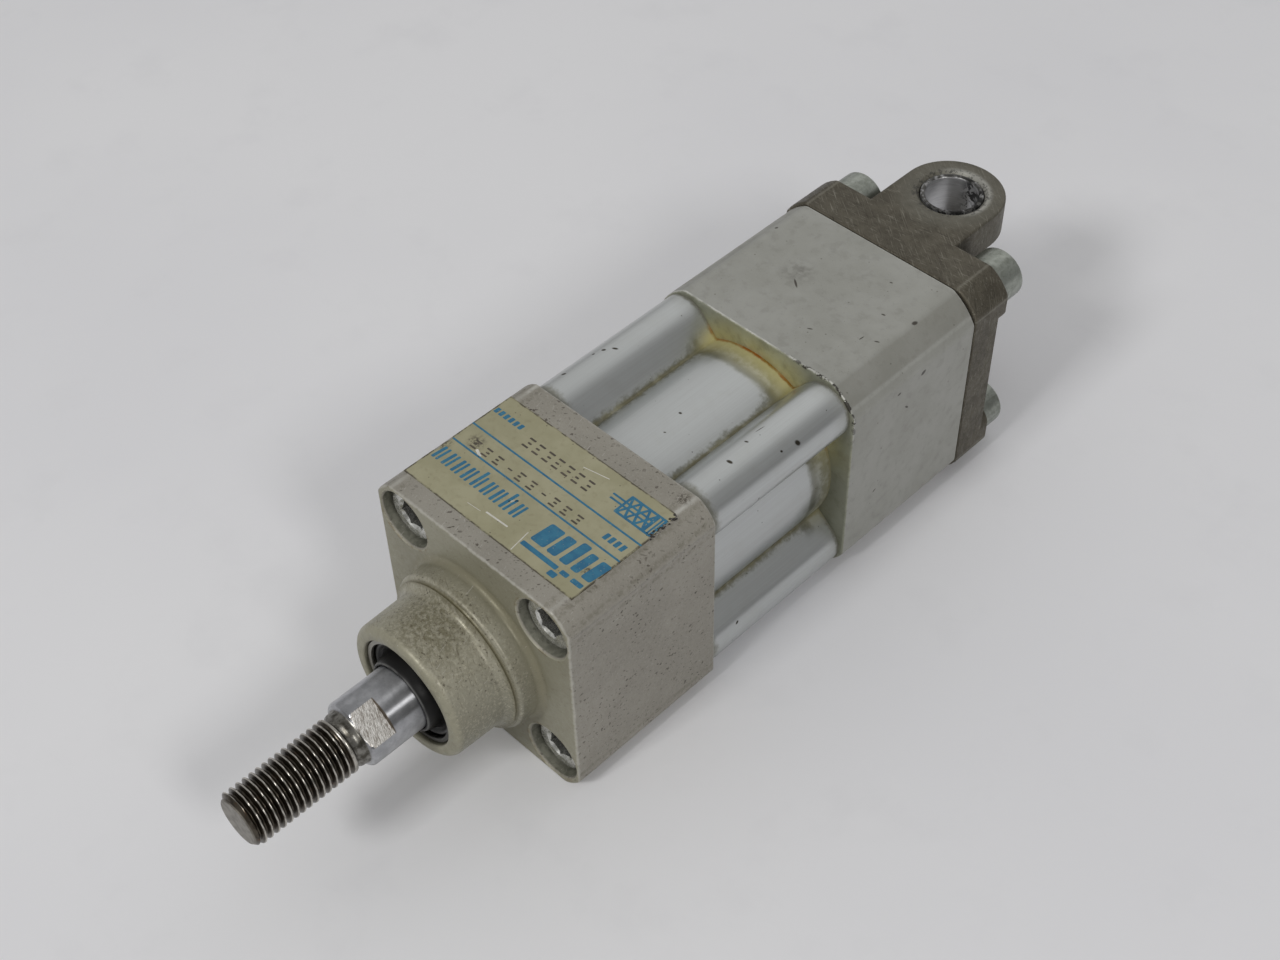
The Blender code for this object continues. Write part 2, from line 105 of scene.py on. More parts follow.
def outline(half, corner, steps=12):
    """Square outline whose corners are near-flat bevels: a wide arc between two tight ones."""
    tight = 0.38 * corner
    wide = (corner - 0.634 * tight) / 0.366
    path, x, z = [(0.0, 0.0)], 0.0, 0.0
    for radius, first, last, count in ((tight, 0, 30, steps // 3), (wide, 30, 60, steps // 3), (tight, 60, 90, steps // 3)):
        for i in range(count):
            a, b = (math.radians(first + (last - first) * (i + j) / count) for j in (0, 1))
            x += radius * (math.cos(b) - math.cos(a))
            z += radius * (math.sin(b) - math.sin(a))
            path.append((x, z))
    quarter = [(half + px, half - corner + pz) for px, pz in path]
    points = []
    for turn in range(4):
        c, s = ((1, 0), (0, 1), (-1, 0), (0, -1))[turn]
        points += [(px * c - pz * s, px * s + pz * c) for px, pz in quarter]
    return points


def loft(rings, cap=True):
    """Joins rings of (x, y, z) points, which all have the same count."""
    bm = bmesh.new()
    made = [[bm.verts.new(p) for p in ring] for ring in rings]
    count = len(made[0])
    for low, high in zip(made, made[1:]):
        for i in range(count):
            j = (i + 1) % count
            bm.faces.new((low[i], low[j], high[j], high[i]))
    if cap:
        bm.faces.new(made[0])
        bm.faces.new(made[-1])
    bmesh.ops.recalc_face_normals(bm, faces=bm.faces)
    return bm


def prism(half, radius, start, end, edge, edge_steps=4, steps=12):
    """Square bar along Y with rounded corners, and its two end edges rounded by edge."""
    levels = [(start + edge * (1 - math.cos(math.radians(90 * i / edge_steps))),
               edge * (1 - math.sin(math.radians(90 * i / edge_steps)))) for i in range(edge_steps + 1)]
    front = sorted(levels)
    back = [(end - (y - start), d) for y, d in reversed(front)]
    return loft([[(x, y, z) for x, z in outline(half - d, max(radius - d, 0.2), steps)] for y, d in front + back])


def block(low, high):
    bm = bmesh.new()
    bmesh.ops.create_cube(bm, size=1.0)
    for vert in bm.verts:
        vert.co = Vector([l + (c + 0.5) * (h - l) for c, l, h in zip(vert.co, low, high)])
    return bm


def slab(points, z0, z1):
    """Extrudes a polygon in (x, y) from z0 to z1."""
    return loft([[(x, y, z0) for x, y in points], [(x, y, z1) for x, y in points]])


def merged(*parts):
    total = bmesh.new()
    for bm in parts:
        mesh = bpy.data.meshes.new("part")
        bm.to_mesh(mesh)
        bm.free()
        total.from_mesh(mesh)
        bpy.data.meshes.remove(mesh)
    return total


def solved(base, *steps):
    """Applies (operation, bmesh) boolean steps to base and returns the mesh."""
    def temp(bm):
        mesh = bpy.data.meshes.new("temp")
        bm.to_mesh(mesh)
        bm.free()
        obj = bpy.data.objects.new("temp", mesh)
        bpy.context.scene.collection.objects.link(obj)
        return obj

    main = temp(base)
    others = []
    for operation, bm in steps:
        other = temp(bm)
        others.append(other)
        mod = main.modifiers.new("step", "BOOLEAN")
        mod.operation, mod.solver, mod.object = operation, "EXACT", other
    bpy.context.view_layer.update()
    graph = bpy.context.evaluated_depsgraph_get()
    mesh = bpy.data.meshes.new_from_object(main.evaluated_get(graph), depsgraph=graph)
    for obj in [main, *others]:
        data = obj.data
        bpy.data.objects.remove(obj, do_unlink=True)
        bpy.data.meshes.remove(data)
    bm = bmesh.new()
    bm.from_mesh(mesh)
    bpy.data.meshes.remove(mesh)
    bmesh.ops.remove_doubles(bm, verts=bm.verts, dist=2e-4)
    bmesh.ops.dissolve_degenerate(bm, edges=bm.edges, dist=2e-4)
    return bm


def put(name, bm, mat, body, node=None, smooth=32, weighted=True, turn_y=None):
    """Writes a bmesh drawn in millimetres as a piece in the row frame, on its body."""
    for vert in bm.verts:
        x, y, z = vert.co
        vert.co = (x * MM, (y + FACE_Y) * MM, (z + AXIS_Z) * MM)
    mesh = bpy.data.meshes.new(name)
    bm.to_mesh(mesh)
    bm.free()
    mesh.shade_smooth()
    mesh.set_sharp_from_angle(angle=math.radians(smooth))
    mesh.materials.append(mat)
    obj = bpy.data.objects.new(name, mesh)
    bpy.context.scene.collection.objects.link(obj)
    if weighted:
        mod = obj.modifiers.new("flat_faces", "WEIGHTED_NORMAL")
        mod.keep_sharp = True
        mod.weight = 100
    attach(obj, body)
    if node:
        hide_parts(*([node] if isinstance(node, str) else node))
    return obj


# ------------------------------------------------------------------ material helpers


class Look:
    """A node material whose texture space is the row frame in millimetres."""

    def __init__(self, name, rough=0.5, metal=0.0, spec=0.5):
        self.mat = bpy.data.materials.new(name)
        self.mat.use_nodes = True
        self.tree = self.mat.node_tree
        self.bsdf = self.tree.nodes["Principled BSDF"]
        self.bsdf.inputs["Roughness"].default_value = rough
        self.bsdf.inputs["Metallic"].default_value = metal
        self.bsdf.inputs["Specular IOR Level"].default_value = spec
        coord = self.tree.nodes.new("ShaderNodeTexCoord")
        self.p = self.vec("MULTIPLY", coord.outputs["Object"], (1000, 1000, 1000))
        self.normal = coord.outputs["Normal"]
        self._split = {}

    def link(self, a, b):
        self.tree.links.new(a, b)

    def feed(self, socket, value):
        if value is None:
            return
        if isinstance(value, bpy.types.NodeSocket):
            self.link(value, socket)
        elif isinstance(value, (tuple, list)) and len(value) == 3 and socket.type == "RGBA":
            socket.default_value = (*value, 1.0)
        else:
            socket.default_value = value

    def vec(self, op, a, b=None):
        node = self.tree.nodes.new("ShaderNodeVectorMath")
        node.operation = op
        self.feed(node.inputs[0], a)
        self.feed(node.inputs[1], b)
        return node.outputs["Value"] if op in ("LENGTH", "DOT_PRODUCT", "DISTANCE") else node.outputs[0]

    def num(self, op, a, b=None, c=None, clamp=False):
        node = self.tree.nodes.new("ShaderNodeMath")
        node.operation, node.use_clamp = op, clamp
        self.feed(node.inputs[0], a)
        self.feed(node.inputs[1], b)
        self.feed(node.inputs[2], c)
        return node.outputs[0]

    def axes(self, vector=None):
        key = vector.as_pointer() if vector is not None else 0
        if key not in self._split:
            node = self.tree.nodes.new("ShaderNodeSeparateXYZ")
            self.feed(node.inputs[0], self.p if vector is None else vector)
            self._split[key] = node.outputs[:3]
        return self._split[key]

    def join(self, x, y, z):
        node = self.tree.nodes.new("ShaderNodeCombineXYZ")
        for socket, value in zip(node.inputs, (x, y, z)):
            self.feed(socket, value)
        return node.outputs[0]

    def stretched(self, x, y, z, turn=(0, 0, 0)):
        """Texture space scaled per axis, after a turn in degrees: a small factor draws a feature out."""
        node = self.tree.nodes.new("ShaderNodeMapping")
        node.vector_type = "POINT"
        self.feed(node.inputs["Vector"], self.p)
        node.inputs["Rotation"].default_value = [math.radians(t) for t in turn]
        return self.vec("MULTIPLY", node.outputs[0], (x, y, z))

    def warped(self, vector=None, scale=1.6, by=0.7):
        """Texture space pushed about by noise, so that spots come out ragged."""
        shift = self.vec("MULTIPLY", self.vec("SUBTRACT", self.noise(scale, 2, colour=True), (0.5, 0.5, 0.5)), (by, by, by))
        return self.vec("ADD", self.p if vector is None else vector, shift)

    def noise(self, scale, detail=3.0, rough=0.55, warp=0.0, vector=None, colour=False):
        node = self.tree.nodes.new("ShaderNodeTexNoise")
        self.feed(node.inputs["Vector"], self.p if vector is None else vector)
        node.inputs["Scale"].default_value = scale
        node.inputs["Detail"].default_value = detail
        node.inputs["Roughness"].default_value = rough
        node.inputs["Distortion"].default_value = warp
        return node.outputs["Color" if colour else "Fac"]

    def cells(self, scale, vector=None, feature="F1", out="Distance", random=1.0):
        node = self.tree.nodes.new("ShaderNodeTexVoronoi")
        node.feature = feature
        self.feed(node.inputs["Vector"], self.p if vector is None else vector)
        node.inputs["Scale"].default_value = scale
        node.inputs["Randomness"].default_value = random
        return node.outputs[out]

    def step(self, value, low, high, to=(0.0, 1.0), kind="SMOOTHSTEP"):
        node = self.tree.nodes.new("ShaderNodeMapRange")
        node.interpolation_type = kind
        node.clamp = True
        self.feed(node.inputs["Value"], value)
        for name, v in (("From Min", low), ("From Max", high), ("To Min", to[0]), ("To Max", to[1])):
            self.feed(node.inputs[name], v)
        return node.outputs["Result"]

    def mix(self, fac, a, b, blend="MIX"):
        node = self.tree.nodes.new("ShaderNodeMix")
        node.data_type, node.blend_type = "RGBA", blend
        node.clamp_result = True
        sockets = [s for s in node.inputs if s.type == "RGBA"]
        self.feed(node.inputs["Factor"], fac)
        self.feed(sockets[0], a)
        self.feed(sockets[1], b)
        return [s for s in node.outputs if s.type == "RGBA"][0]

    def mix_value(self, fac, a, b):
        """Plain number mix."""
        return self.num("ADD", self.num("MULTIPLY", self.num("SUBTRACT", 1.0, fac), a), self.num("MULTIPLY", fac, b))

    def both(self, a, b):
        return self.num("MULTIPLY", a, b, clamp=True)

    def most(self, a, b):
        return self.num("MAXIMUM", a, b, clamp=True)

    def flip(self, a):
        return self.num("SUBTRACT", 1.0, a, clamp=True)

    def blob(self, centre, size, soft=0.4):
        """1 at a point of the row frame in mm, falling to 0 at size."""
        d = self.vec("DISTANCE", self.p, centre)
        return self.step(d, size, size * (1 - soft))

    def nick(self, centre, reach, width, soft=0.5):
        """A small elongated mark at a point: reach is a vector along it in mm, width its half width."""
        length = Vector(reach).length
        along = self.vec("DOT_PRODUCT", self.vec("SUBTRACT", self.p, centre), tuple(Vector(reach) / length))
        away = self.vec("DISTANCE", self.p, centre)
        side = self.num("SQRT", self.num("MAXIMUM", self.num("SUBTRACT", self.num("MULTIPLY", away, away), self.num("MULTIPLY", along, along)), 0.0))
        a = self.num("DIVIDE", along, length / 2)
        b = self.num("DIVIDE", side, width)
        r = self.num("SQRT", self.num("ADD", self.num("MULTIPLY", a, a), self.num("MULTIPLY", b, b)))
        return self.step(r, 1.0, 1 - soft)

    def done(self, colour, rough=None, metal=None, height=None, strength=0.3, distance=0.05, normal_from=None):
        self.feed(self.bsdf.inputs["Base Color"], colour)
        if rough is not None:
            self.feed(self.bsdf.inputs["Roughness"], rough)
        if metal is not None:
            self.feed(self.bsdf.inputs["Metallic"], metal)
        if height is not None:
            node = self.tree.nodes.new("ShaderNodeBump")
            node.inputs["Strength"].default_value = strength
            node.inputs["Distance"].default_value = distance * MM
            self.link(height, node.inputs["Height"])
            self.link(node.outputs[0], self.bsdf.inputs["Normal"])
        return self.mat


def square_edge(look, half, corner, start, end):
    """Distance in mm from the nearest end edge or long face of a bevelled square bar along Y, on its surface."""
    x, y, z = look.axes()
    px = look.num("SUBTRACT", look.num("ABSOLUTE", x), half - corner)
    pz = look.num("SUBTRACT", look.num("ABSOLUTE", look.num("SUBTRACT", z, AXIS_Z)), half - corner)
    flat = look.num("SUBTRACT", look.num("MAXIMUM", px, pz), corner)
    bevel = look.num("SUBTRACT", look.num("MULTIPLY", look.num("ADD", px, pz), 0.7071), 0.875 * corner)
    side = look.num("MAXIMUM", flat, bevel)                 # 0 on the sides, negative inside
    mid = (start + end) / 2 + FACE_Y
    along = look.num("SUBTRACT", look.num("ABSOLUTE", look.num("SUBTRACT", y, mid)), (end - start) / 2)
    return look.num("MULTIPLY", look.num("MINIMUM", side, along), -1.0)


def side_depth(look, half, corner):
    """Depth in mm below the long faces and bevels of a square bar along Y."""
    x, _, z = look.axes()
    px = look.num("SUBTRACT", look.num("ABSOLUTE", x), half - corner)
    pz = look.num("SUBTRACT", look.num("ABSOLUTE", look.num("SUBTRACT", z, AXIS_Z)), half - corner)
    flat = look.num("SUBTRACT", corner, look.num("MAXIMUM", px, pz))
    bevel = look.num("SUBTRACT", 0.875 * corner, look.num("MULTIPLY", look.num("ADD", px, pz), 0.7071))
    return look.num("MINIMUM", flat, bevel)


def bevel_line(look, half, corner):
    """Distance in mm from the nearest long edge between a face and a bevel."""
    x, _, z = look.axes()
    px = look.num("SUBTRACT", look.num("ABSOLUTE", x), half - corner)
    pz = look.num("SUBTRACT", look.num("ABSOLUTE", look.num("SUBTRACT", z, AXIS_Z)), half - corner)
    top = look.vec("LENGTH", look.join(px, 0.0, look.num("SUBTRACT", pz, corner)))
    side = look.vec("LENGTH", look.join(look.num("SUBTRACT", px, corner), 0.0, pz))
    return look.num("MINIMUM", top, side)


def axis_radius(look):
    x, _, z = look.axes()
    return look.vec("LENGTH", look.join(x, 0.0, look.num("SUBTRACT", z, AXIS_Z)))


def row(x, y, z):
    """Axis-frame millimetres to row-frame millimetres, for marks in materials."""
    return (x, y + FACE_Y, z + AXIS_Z)


# ------------------------------------------------------------------ materials


def front_cap_look():
    k = Look("front_cap_cast_metal", metal=0.25, spec=0.4)
    x, y, z = k.axes()
    yl = k.num("SUBTRACT", y, FACE_Y)
    broad = k.noise(0.07, 3)
    grain = k.noise(2.6, 4, 0.65)
    fine = k.noise(9.0, 3, 0.6)
    side = k.mix(k.step(broad, 0.35, 0.65), TAUPE_A, TAUPE_B)
    side = k.mix(k.both(k.step(grain, 0.45, 0.75), 0.35), side, TAUPE_LIGHT)
    front = k.mix(k.step(broad, 0.35, 0.65), CHAMPAGNE_A, CHAMPAGNE_B)
    is_front = k.step(yl, 0.30, 0.0)
    colour = k.mix(is_front, side, front)
    # dark specks of several sizes, denser in drifts
    drift = k.step(k.noise(0.13, 3, 0.6), 0.40, 0.60, (0.35, 1.0))
    ragged_space = k.warped(None, 1.7, 0.9)
    big = k.both(k.step(k.cells(0.72, ragged_space), 0.24, 0.15), k.step(k.cells(0.72, ragged_space, out="Color"), 0.50, 0.54))
    small = k.both(k.step(k.cells(1.6, ragged_space), 0.27, 0.16), k.step(k.cells(1.6, ragged_space, out="Color"), 0.46, 0.54))
    slanted = k.warped(k.stretched(1.0, 0.34, 1.0, (25, 0, 35)), 2.0, 0.35)
    dashes = k.both(k.step(k.cells(1.25, slanted), 0.22, 0.13), k.step(k.cells(1.25, slanted, out="Color"), 0.42, 0.50))
    specks = k.most(k.both(big, 0.9), k.most(k.both(small, 0.75), dashes))
    specks = k.both(k.both(specks, drift), k.mix_value(is_front, 0.85, 0.26))
    pepper = k.both(k.step(k.noise(4.6, 3, 0.6), 0.56, 0.68), 0.30)
    colour = k.mix(pepper, colour, srgb(112, 104, 92))
    # boss: painted shading, darker below and lighter on top, then a light grain, brown stains, scratches and flecks on
    # its upper side
    r = axis_radius(k)
    up = k.step(z, 20.0, 32.0)
    on_boss = k.both(is_front, k.both(k.step(yl, -1.0, -3.5), k.step(yl, -15.85, -14.45)))
    # painted shading: the boss is pulled darker below and lighter on its upper side
    colour = k.mix(k.both(on_boss, 0.35), colour, k.mix(up, srgb(122, 121, 108), srgb(196, 192, 176)))
    light_grain = k.both(on_boss, k.step(k.noise(2.2, 4, 0.7, 0.4), 0.50, 0.64))
    colour = k.mix(k.both(light_grain, 0.52), colour, srgb(196, 191, 170))
    smear = k.most(k.both(k.blob(row(1.0, -9.5, 12.8), 11.5, 0.80), 1.0), k.both(k.step(k.noise(0.15, 3, 0.55), 0.40, 0.55, (0.25, 1.0)), 0.42))
    mottled = k.step(k.noise(1.3, 5, 0.72, 0.3), 0.38, 0.60, (0.25, 1.0))
    stain = k.both(k.both(mottled, smear), k.both(on_boss, up))
    colour = k.mix(k.both(stain, 0.72), colour, srgb(93, 87, 58))
    # painted shade on the lower part of the boss
    colour = k.mix(k.both(k.both(on_boss, k.step(z, 33.0, 27.0)), 0.14), colour, srgb(84, 81, 66))
    rubs = k.step(k.noise(1.3, 2, 0.5, 0.3, k.stretched(0.35, 3.2, 0.6, (0, 15, 30))), 0.62, 0.70)
    colour = k.mix(k.both(k.both(rubs, on_boss), k.both(up, 0.45)), colour, srgb(84, 72, 54))
    fleck = k.both(k.step(k.cells(1.3, k.warped(None, 2.2, 0.8)), 0.27, 0.16), k.step(k.noise(0.4, 3), 0.40, 0.54))
    colour = k.mix(k.both(fleck, k.both(on_boss, k.mix_value(up, 0.20, 0.62))), colour, srgb(62, 51, 36))
    # painted shade: a dark line in the groove at the boss's ridge
    groove_shade = k.both(k.step(k.num("ABSOLUTE", k.num("ADD", yl, 4.95)), 0.55, 0.05), is_front)
    colour = k.mix(k.both(groove_shade, 0.8), colour, srgb(96, 90, 62))
    # painted shade where the collar meets the face
    foot = k.both(k.both(k.step(r, 17.4, 15.4), k.step(yl, -1.9, -0.2)), is_front)
    colour = k.mix(k.both(foot, 0.48), colour, srgb(116, 110, 82))
    colour = k.mix(specks, colour, srgb(64, 54, 44))
    # light worn edges, and light scuffs along the top bevel that also serve as its painted highlight
    edge = square_edge(k, E / 2, 4.0, 0.0, 32.7)
    # light scuffs along the top bevel, also the bevel's painted highlight, stronger on top
    scuff_and_highlight_line = k.step(k.num("ADD", bevel_line(k, E / 2, 4.0), k.num("MULTIPLY", k.noise(2.4, 4, 0.7), 0.8)), 1.05, 0.45)
    scuffs_and_highlight = k.both(scuff_and_highlight_line, k.step(k.noise(0.30, 3, 0.6), 0.36, 0.58, (0.35, 1.0)))
    on_top = k.step(z, 42.6, 44.4, (0.22, 1.0))
    colour = k.mix(k.both(k.both(k.both(scuffs_and_highlight, on_top), k.step(yl, 0.1, 0.5)), k.step(yl, 2.0, 26.0, (0.36, 0.66))), colour, srgb(200, 199, 192))
    under = k.both(k.step(k.num("ABSOLUTE", k.num("SUBTRACT", bevel_line(k, E / 2, 4.0), 1.3)), 0.75, 0.15), k.step(k.noise(1.1, 4, 0.65), 0.40, 0.60))
    colour = k.mix(k.both(k.both(under, 0.42), k.flip(is_front)), colour, srgb(112, 108, 92))
    low_scratch = k.both(k.step(k.num("ADD", bevel_line(k, E / 2, 4.0), k.num("MULTIPLY", k.noise(1.1, 4, 0.7), 1.6)), 1.15, 0.85), k.flip(on_top))
    colour = k.mix(k.both(low_scratch, 0.35), colour, srgb(108, 104, 98))
    cut = k.nick(row(21.5, 1.45, 20.1), (0.30, 0.75, -0.3), 0.16)
    colour = k.mix(k.both(cut, 0.85), colour, srgb(58, 50, 42))
    bruise = k.both(k.blob(row(17.2, 30.6, 22.3), 1.9, 0.8), k.step(k.noise(2.2, 4, 0.65), 0.44, 0.56))
    colour = k.mix(k.both(bruise, 0.75), colour, srgb(70, 62, 54))
    worn = k.step(k.num("ADD", edge, k.num("MULTIPLY", k.noise(1.2, 3), 0.9)), 0.95, 0.55)
    worn = k.both(worn, k.step(yl, -0.4, -0.05))
    colour = k.mix(k.both(worn, 0.55), colour, srgb(190, 188, 180))
    # painted highlight: a lighter creamy ring on the boss's rim
    rim = k.both(k.step(yl, -14.6, -15.2), k.step(r, 10.0, 10.6))
    colour = k.mix(k.both(rim, k.step(k.noise(0.8, 3), 0.35, 0.6, (0.05, 0.30))), colour, srgb(170, 166, 144))

    # inside of the mouth: painted shade, weaker on the left where the wall is lit
    # painted shade in the mouth's recess
    inside = k.both(k.step(r, 10.5, 10.27), k.step(yl, -15.55, -14.95))
    colour = k.mix(k.both(inside, k.mix_value(k.step(x, -7.5, -4.0), 0.30, 0.60)), colour, srgb(58, 57, 48))
    # counterbores: greenish grey walls
    for cx, cz in CORNERS:
        d = k.vec("LENGTH", k.join(k.num("SUBTRACT", x, cx), 0.0, k.num("SUBTRACT", z, cz + AXIS_Z)))
        wall = k.both(k.step(d, 5.75, 5.45), k.step(yl, 0.15, 0.6))
        colour = k.mix(k.both(wall, 0.8), colour, k.mix(k.step(k.noise(0.9, 4, 0.6), 0.35, 0.65), srgb(98, 100, 88), srgb(130, 131, 118)))
        # painted highlight on each counterbore's lip
        lip = k.both(k.step(k.num("ABSOLUTE", k.num("SUBTRACT", d, 5.75)), 0.22, 0.06), k.step(yl, 0.5, 0.2))
        colour = k.mix(k.both(lip, k.both(is_front, 0.55)), colour, srgb(178, 176, 158))
        dirty = k.both(k.step(k.num("ABSOLUTE", k.num("SUBTRACT", d, 5.9)), 0.45, 0.1), k.step(k.noise(0.8, 4, 0.65), 0.48, 0.60))
        colour = k.mix(k.both(dirty, k.both(is_front, 0.45)), colour, srgb(112, 92, 62))
    # hairline scratches
    hair = k.step(k.noise(1.9, 1, 0.4, 0.0, k.stretched(0.12, 3.0, 3.0, (0, 10, 35))), 0.735, 0.76)
    hair2 = k.step(k.noise(1.7, 1, 0.4, 0.0, k.stretched(3.0, 0.10, 3.0, (0, -20, -15))), 0.735, 0.76)
    hairs = k.most(hair, hair2)
    colour = k.mix(k.both(hairs, 0.35), colour, srgb(205, 202, 196))
    rough = k.step(k.noise(0.9, 3), 0.3, 0.7, (0.42, 0.56))
    rough = k.num("SUBTRACT", rough, k.both(is_front, 0.06))
    height = k.num("SUBTRACT", k.num("ADD", k.both(grain, 0.5), k.both(fine, 0.35)), k.both(specks, 1.4))
    return k.done(colour, rough=rough, height=height, strength=0.30, distance=0.06)


def rear_cap_look():
    k = Look("rear_cap_cast_metal", metal=0.30, spec=0.4)
    x, y, z = k.axes()
    yl = k.num("SUBTRACT", y, FACE_Y)
    broad = k.noise(0.10, 4, 0.6)
    cloud = k.noise(0.45, 4, 0.6)
    grain = k.noise(3.4, 3, 0.6)
    colour = k.mix(k.step(broad, 0.35, 0.65), REAR_A, REAR_B)
    colour = k.mix(k.both(k.step(cloud, 0.52, 0.70), 0.28), colour, REAR_DARK)
    colour = k.mix(k.both(k.step(grain, 0.5, 0.75), 0.18), colour, srgb(176, 175, 168))
    # painted shade: the bevels along the long corners are darker than the faces
    px = k.num("SUBTRACT", k.num("ABSOLUTE", x), E / 2 - 6.0)
    high = k.step(k.num("ABSOLUTE", k.num("SUBTRACT", z, AXIS_Z)), 16.6, 17.3)
    bevel_shade = k.both(k.both(k.step(px, 1.1, 1.6), k.step(px, 4.95, 4.5)), high)
    colour = k.mix(k.both(bevel_shade, 0.22), colour, srgb(110, 107, 94))
    # painted highlight: a pale line along the edge where each bevel meets the side
    bevel_edge_highlight = k.both(k.step(k.num("ABSOLUTE", k.num("SUBTRACT", px, 5.0)), 0.32, 0.08), k.step(k.noise(1.0, 3), 0.35, 0.55, (0.3, 1.0)))
    colour = k.mix(k.both(k.both(bevel_edge_highlight, high), 0.30), colour, srgb(186, 186, 180))
    smudge = k.both(k.blob(row(-6.0, 84.5, 22.5), 4.6, 0.9), k.step(k.noise(0.6, 3), 0.40, 0.62))
    colour = k.mix(k.both(smudge, 0.45), colour, srgb(104, 102, 96))
    specks = k.both(k.step(k.cells(0.55), 0.12, 0.05), k.step(k.cells(0.55, out="Color"), 0.66, 0.74))
    tiny = k.step(k.noise(4.1, 2, 0.5), 0.715, 0.75)
    colour = k.mix(k.both(k.most(specks, tiny), 0.55), colour, srgb(84, 78, 68))
    # nicks seen on the top and the right side
    marks = None
    for centre, reach, width in (
        ((17.6, 88.3, 22.3), (0.4, 1.3, 0), 0.34), ((22.4, 85.5, 15.6), (0, 1.3, 0.5), 0.42), ((22.4, 79.0, 14.9), (0, 1.0, 0.1), 0.26),
        ((-4.2, 81.8, 22.5), (1.9, -1.5, 0), 0.20), ((22.5, 81.6, 10.0), (0, 0.9, -0.9), 0.20), ((12.4, 86.0, 22.5), (0.8, 0.2, 0), 0.18),
        ((13.5, 78.8, 22.5), (0.1, 1.2, 0), 0.12), ((16.0, 79.9, 22.5), (0.9, 0.4, 0), 0.16), ((5.5, 74.5, 22.5), (0.9, 0.5, 0), 0.14),
        ((-17.0, 91.0, 22.5), (0.4, 0.6, 0), 0.25), ((8.0, 93.5, 22.5), (0.6, 0.2, 0), 0.14), ((22.5, 74.5, -6.0), (0, 0.9, 0.4), 0.18),
        ((-22.5, 82.0, 9.0), (0, 1.2, 0.4), 0.30), ((-22.5, 90.0, -4.0), (0, 1.0, -0.6), 0.22), ((3.0, 80.0, -22.5), (1.4, 0.6, 0), 0.25),
    ):
        mark = k.nick(row(*centre), tuple(1.25 * v for v in reach), 1.35 * width)
        marks = mark if marks is None else k.most(marks, mark)
    colour = k.mix(k.both(marks, 0.85), colour, srgb(52, 44, 36))
    # yellow stain and old dirt on the face towards the barrel
    is_face = k.step(yl, 67.05, 66.8)
    r = axis_radius(k)
    inner = k.step(r, 26.0, 18.0)
    top = k.step(z, 22.0, 34.0)
    yellow = k.mix(k.step(k.noise(0.25, 3), 0.35, 0.65), srgb(190, 188, 146), srgb(176, 170, 120))
    colour = k.mix(k.both(is_face, 0.75), colour, srgb(130, 132, 112))
    colour = k.mix(k.both(k.both(is_face, inner), k.both(top, 0.8)), colour, yellow)
    grime = k.both(is_face, k.step(k.noise(0.35, 4, 0.6), 0.45, 0.70))
    colour = k.mix(k.both(grime, 0.35), colour, srgb(92, 92, 72))
    # bright worn end edges with dark chips
    ragged = k.num("ADD", k.num("ABSOLUTE", k.num("SUBTRACT", yl, 66.95)), k.num("MULTIPLY", k.noise(1.8, 4, 0.65), 0.5))
    outside = k.step(side_depth(k, E / 2, 6.0), 0.55, 0.35)
    upper = k.step(z, 32.0, 41.0, (0.15, 1.0))
    worn = k.both(k.both(k.step(ragged, 0.46, 0.28), outside), k.both(upper, k.step(k.noise(0.45, 4, 0.65), 0.38, 0.56, (0.25, 1.0))))
    colour = k.mix(k.both(worn, 0.80), colour, srgb(214, 214, 208))
    chips = k.both(k.step(k.num("ADD", ragged, k.num("MULTIPLY", k.noise(0.5, 3, 0.6), 0.5)), 0.92, 0.66), outside)
    chips = k.both(k.both(chips, upper), k.both(k.step(k.noise(0.8, 4, 0.65), 0.50, 0.55), k.step(x, 4.0, 12.0)))
    colour = k.mix(k.both(chips, 0.95), colour, srgb(48, 44, 38))
    back_worn = k.both(k.step(k.num("ADD", k.num("ABSOLUTE", k.num("SUBTRACT", yl, 99.6)), k.num("MULTIPLY", k.noise(1.8, 4, 0.65), 0.5)), 0.50, 0.36), outside)
    colour = k.mix(k.both(back_worn, 0.45), colour, srgb(196, 196, 190))
    rough = k.step(cloud, 0.3, 0.7, (0.40, 0.52))
    height = k.num("SUBTRACT", k.num("ADD", k.both(grain, 0.5), k.both(k.noise(11, 2), 0.2)), k.both(marks, 2.0))
    return k.done(colour, rough=rough, height=height, strength=0.16, distance=0.05)


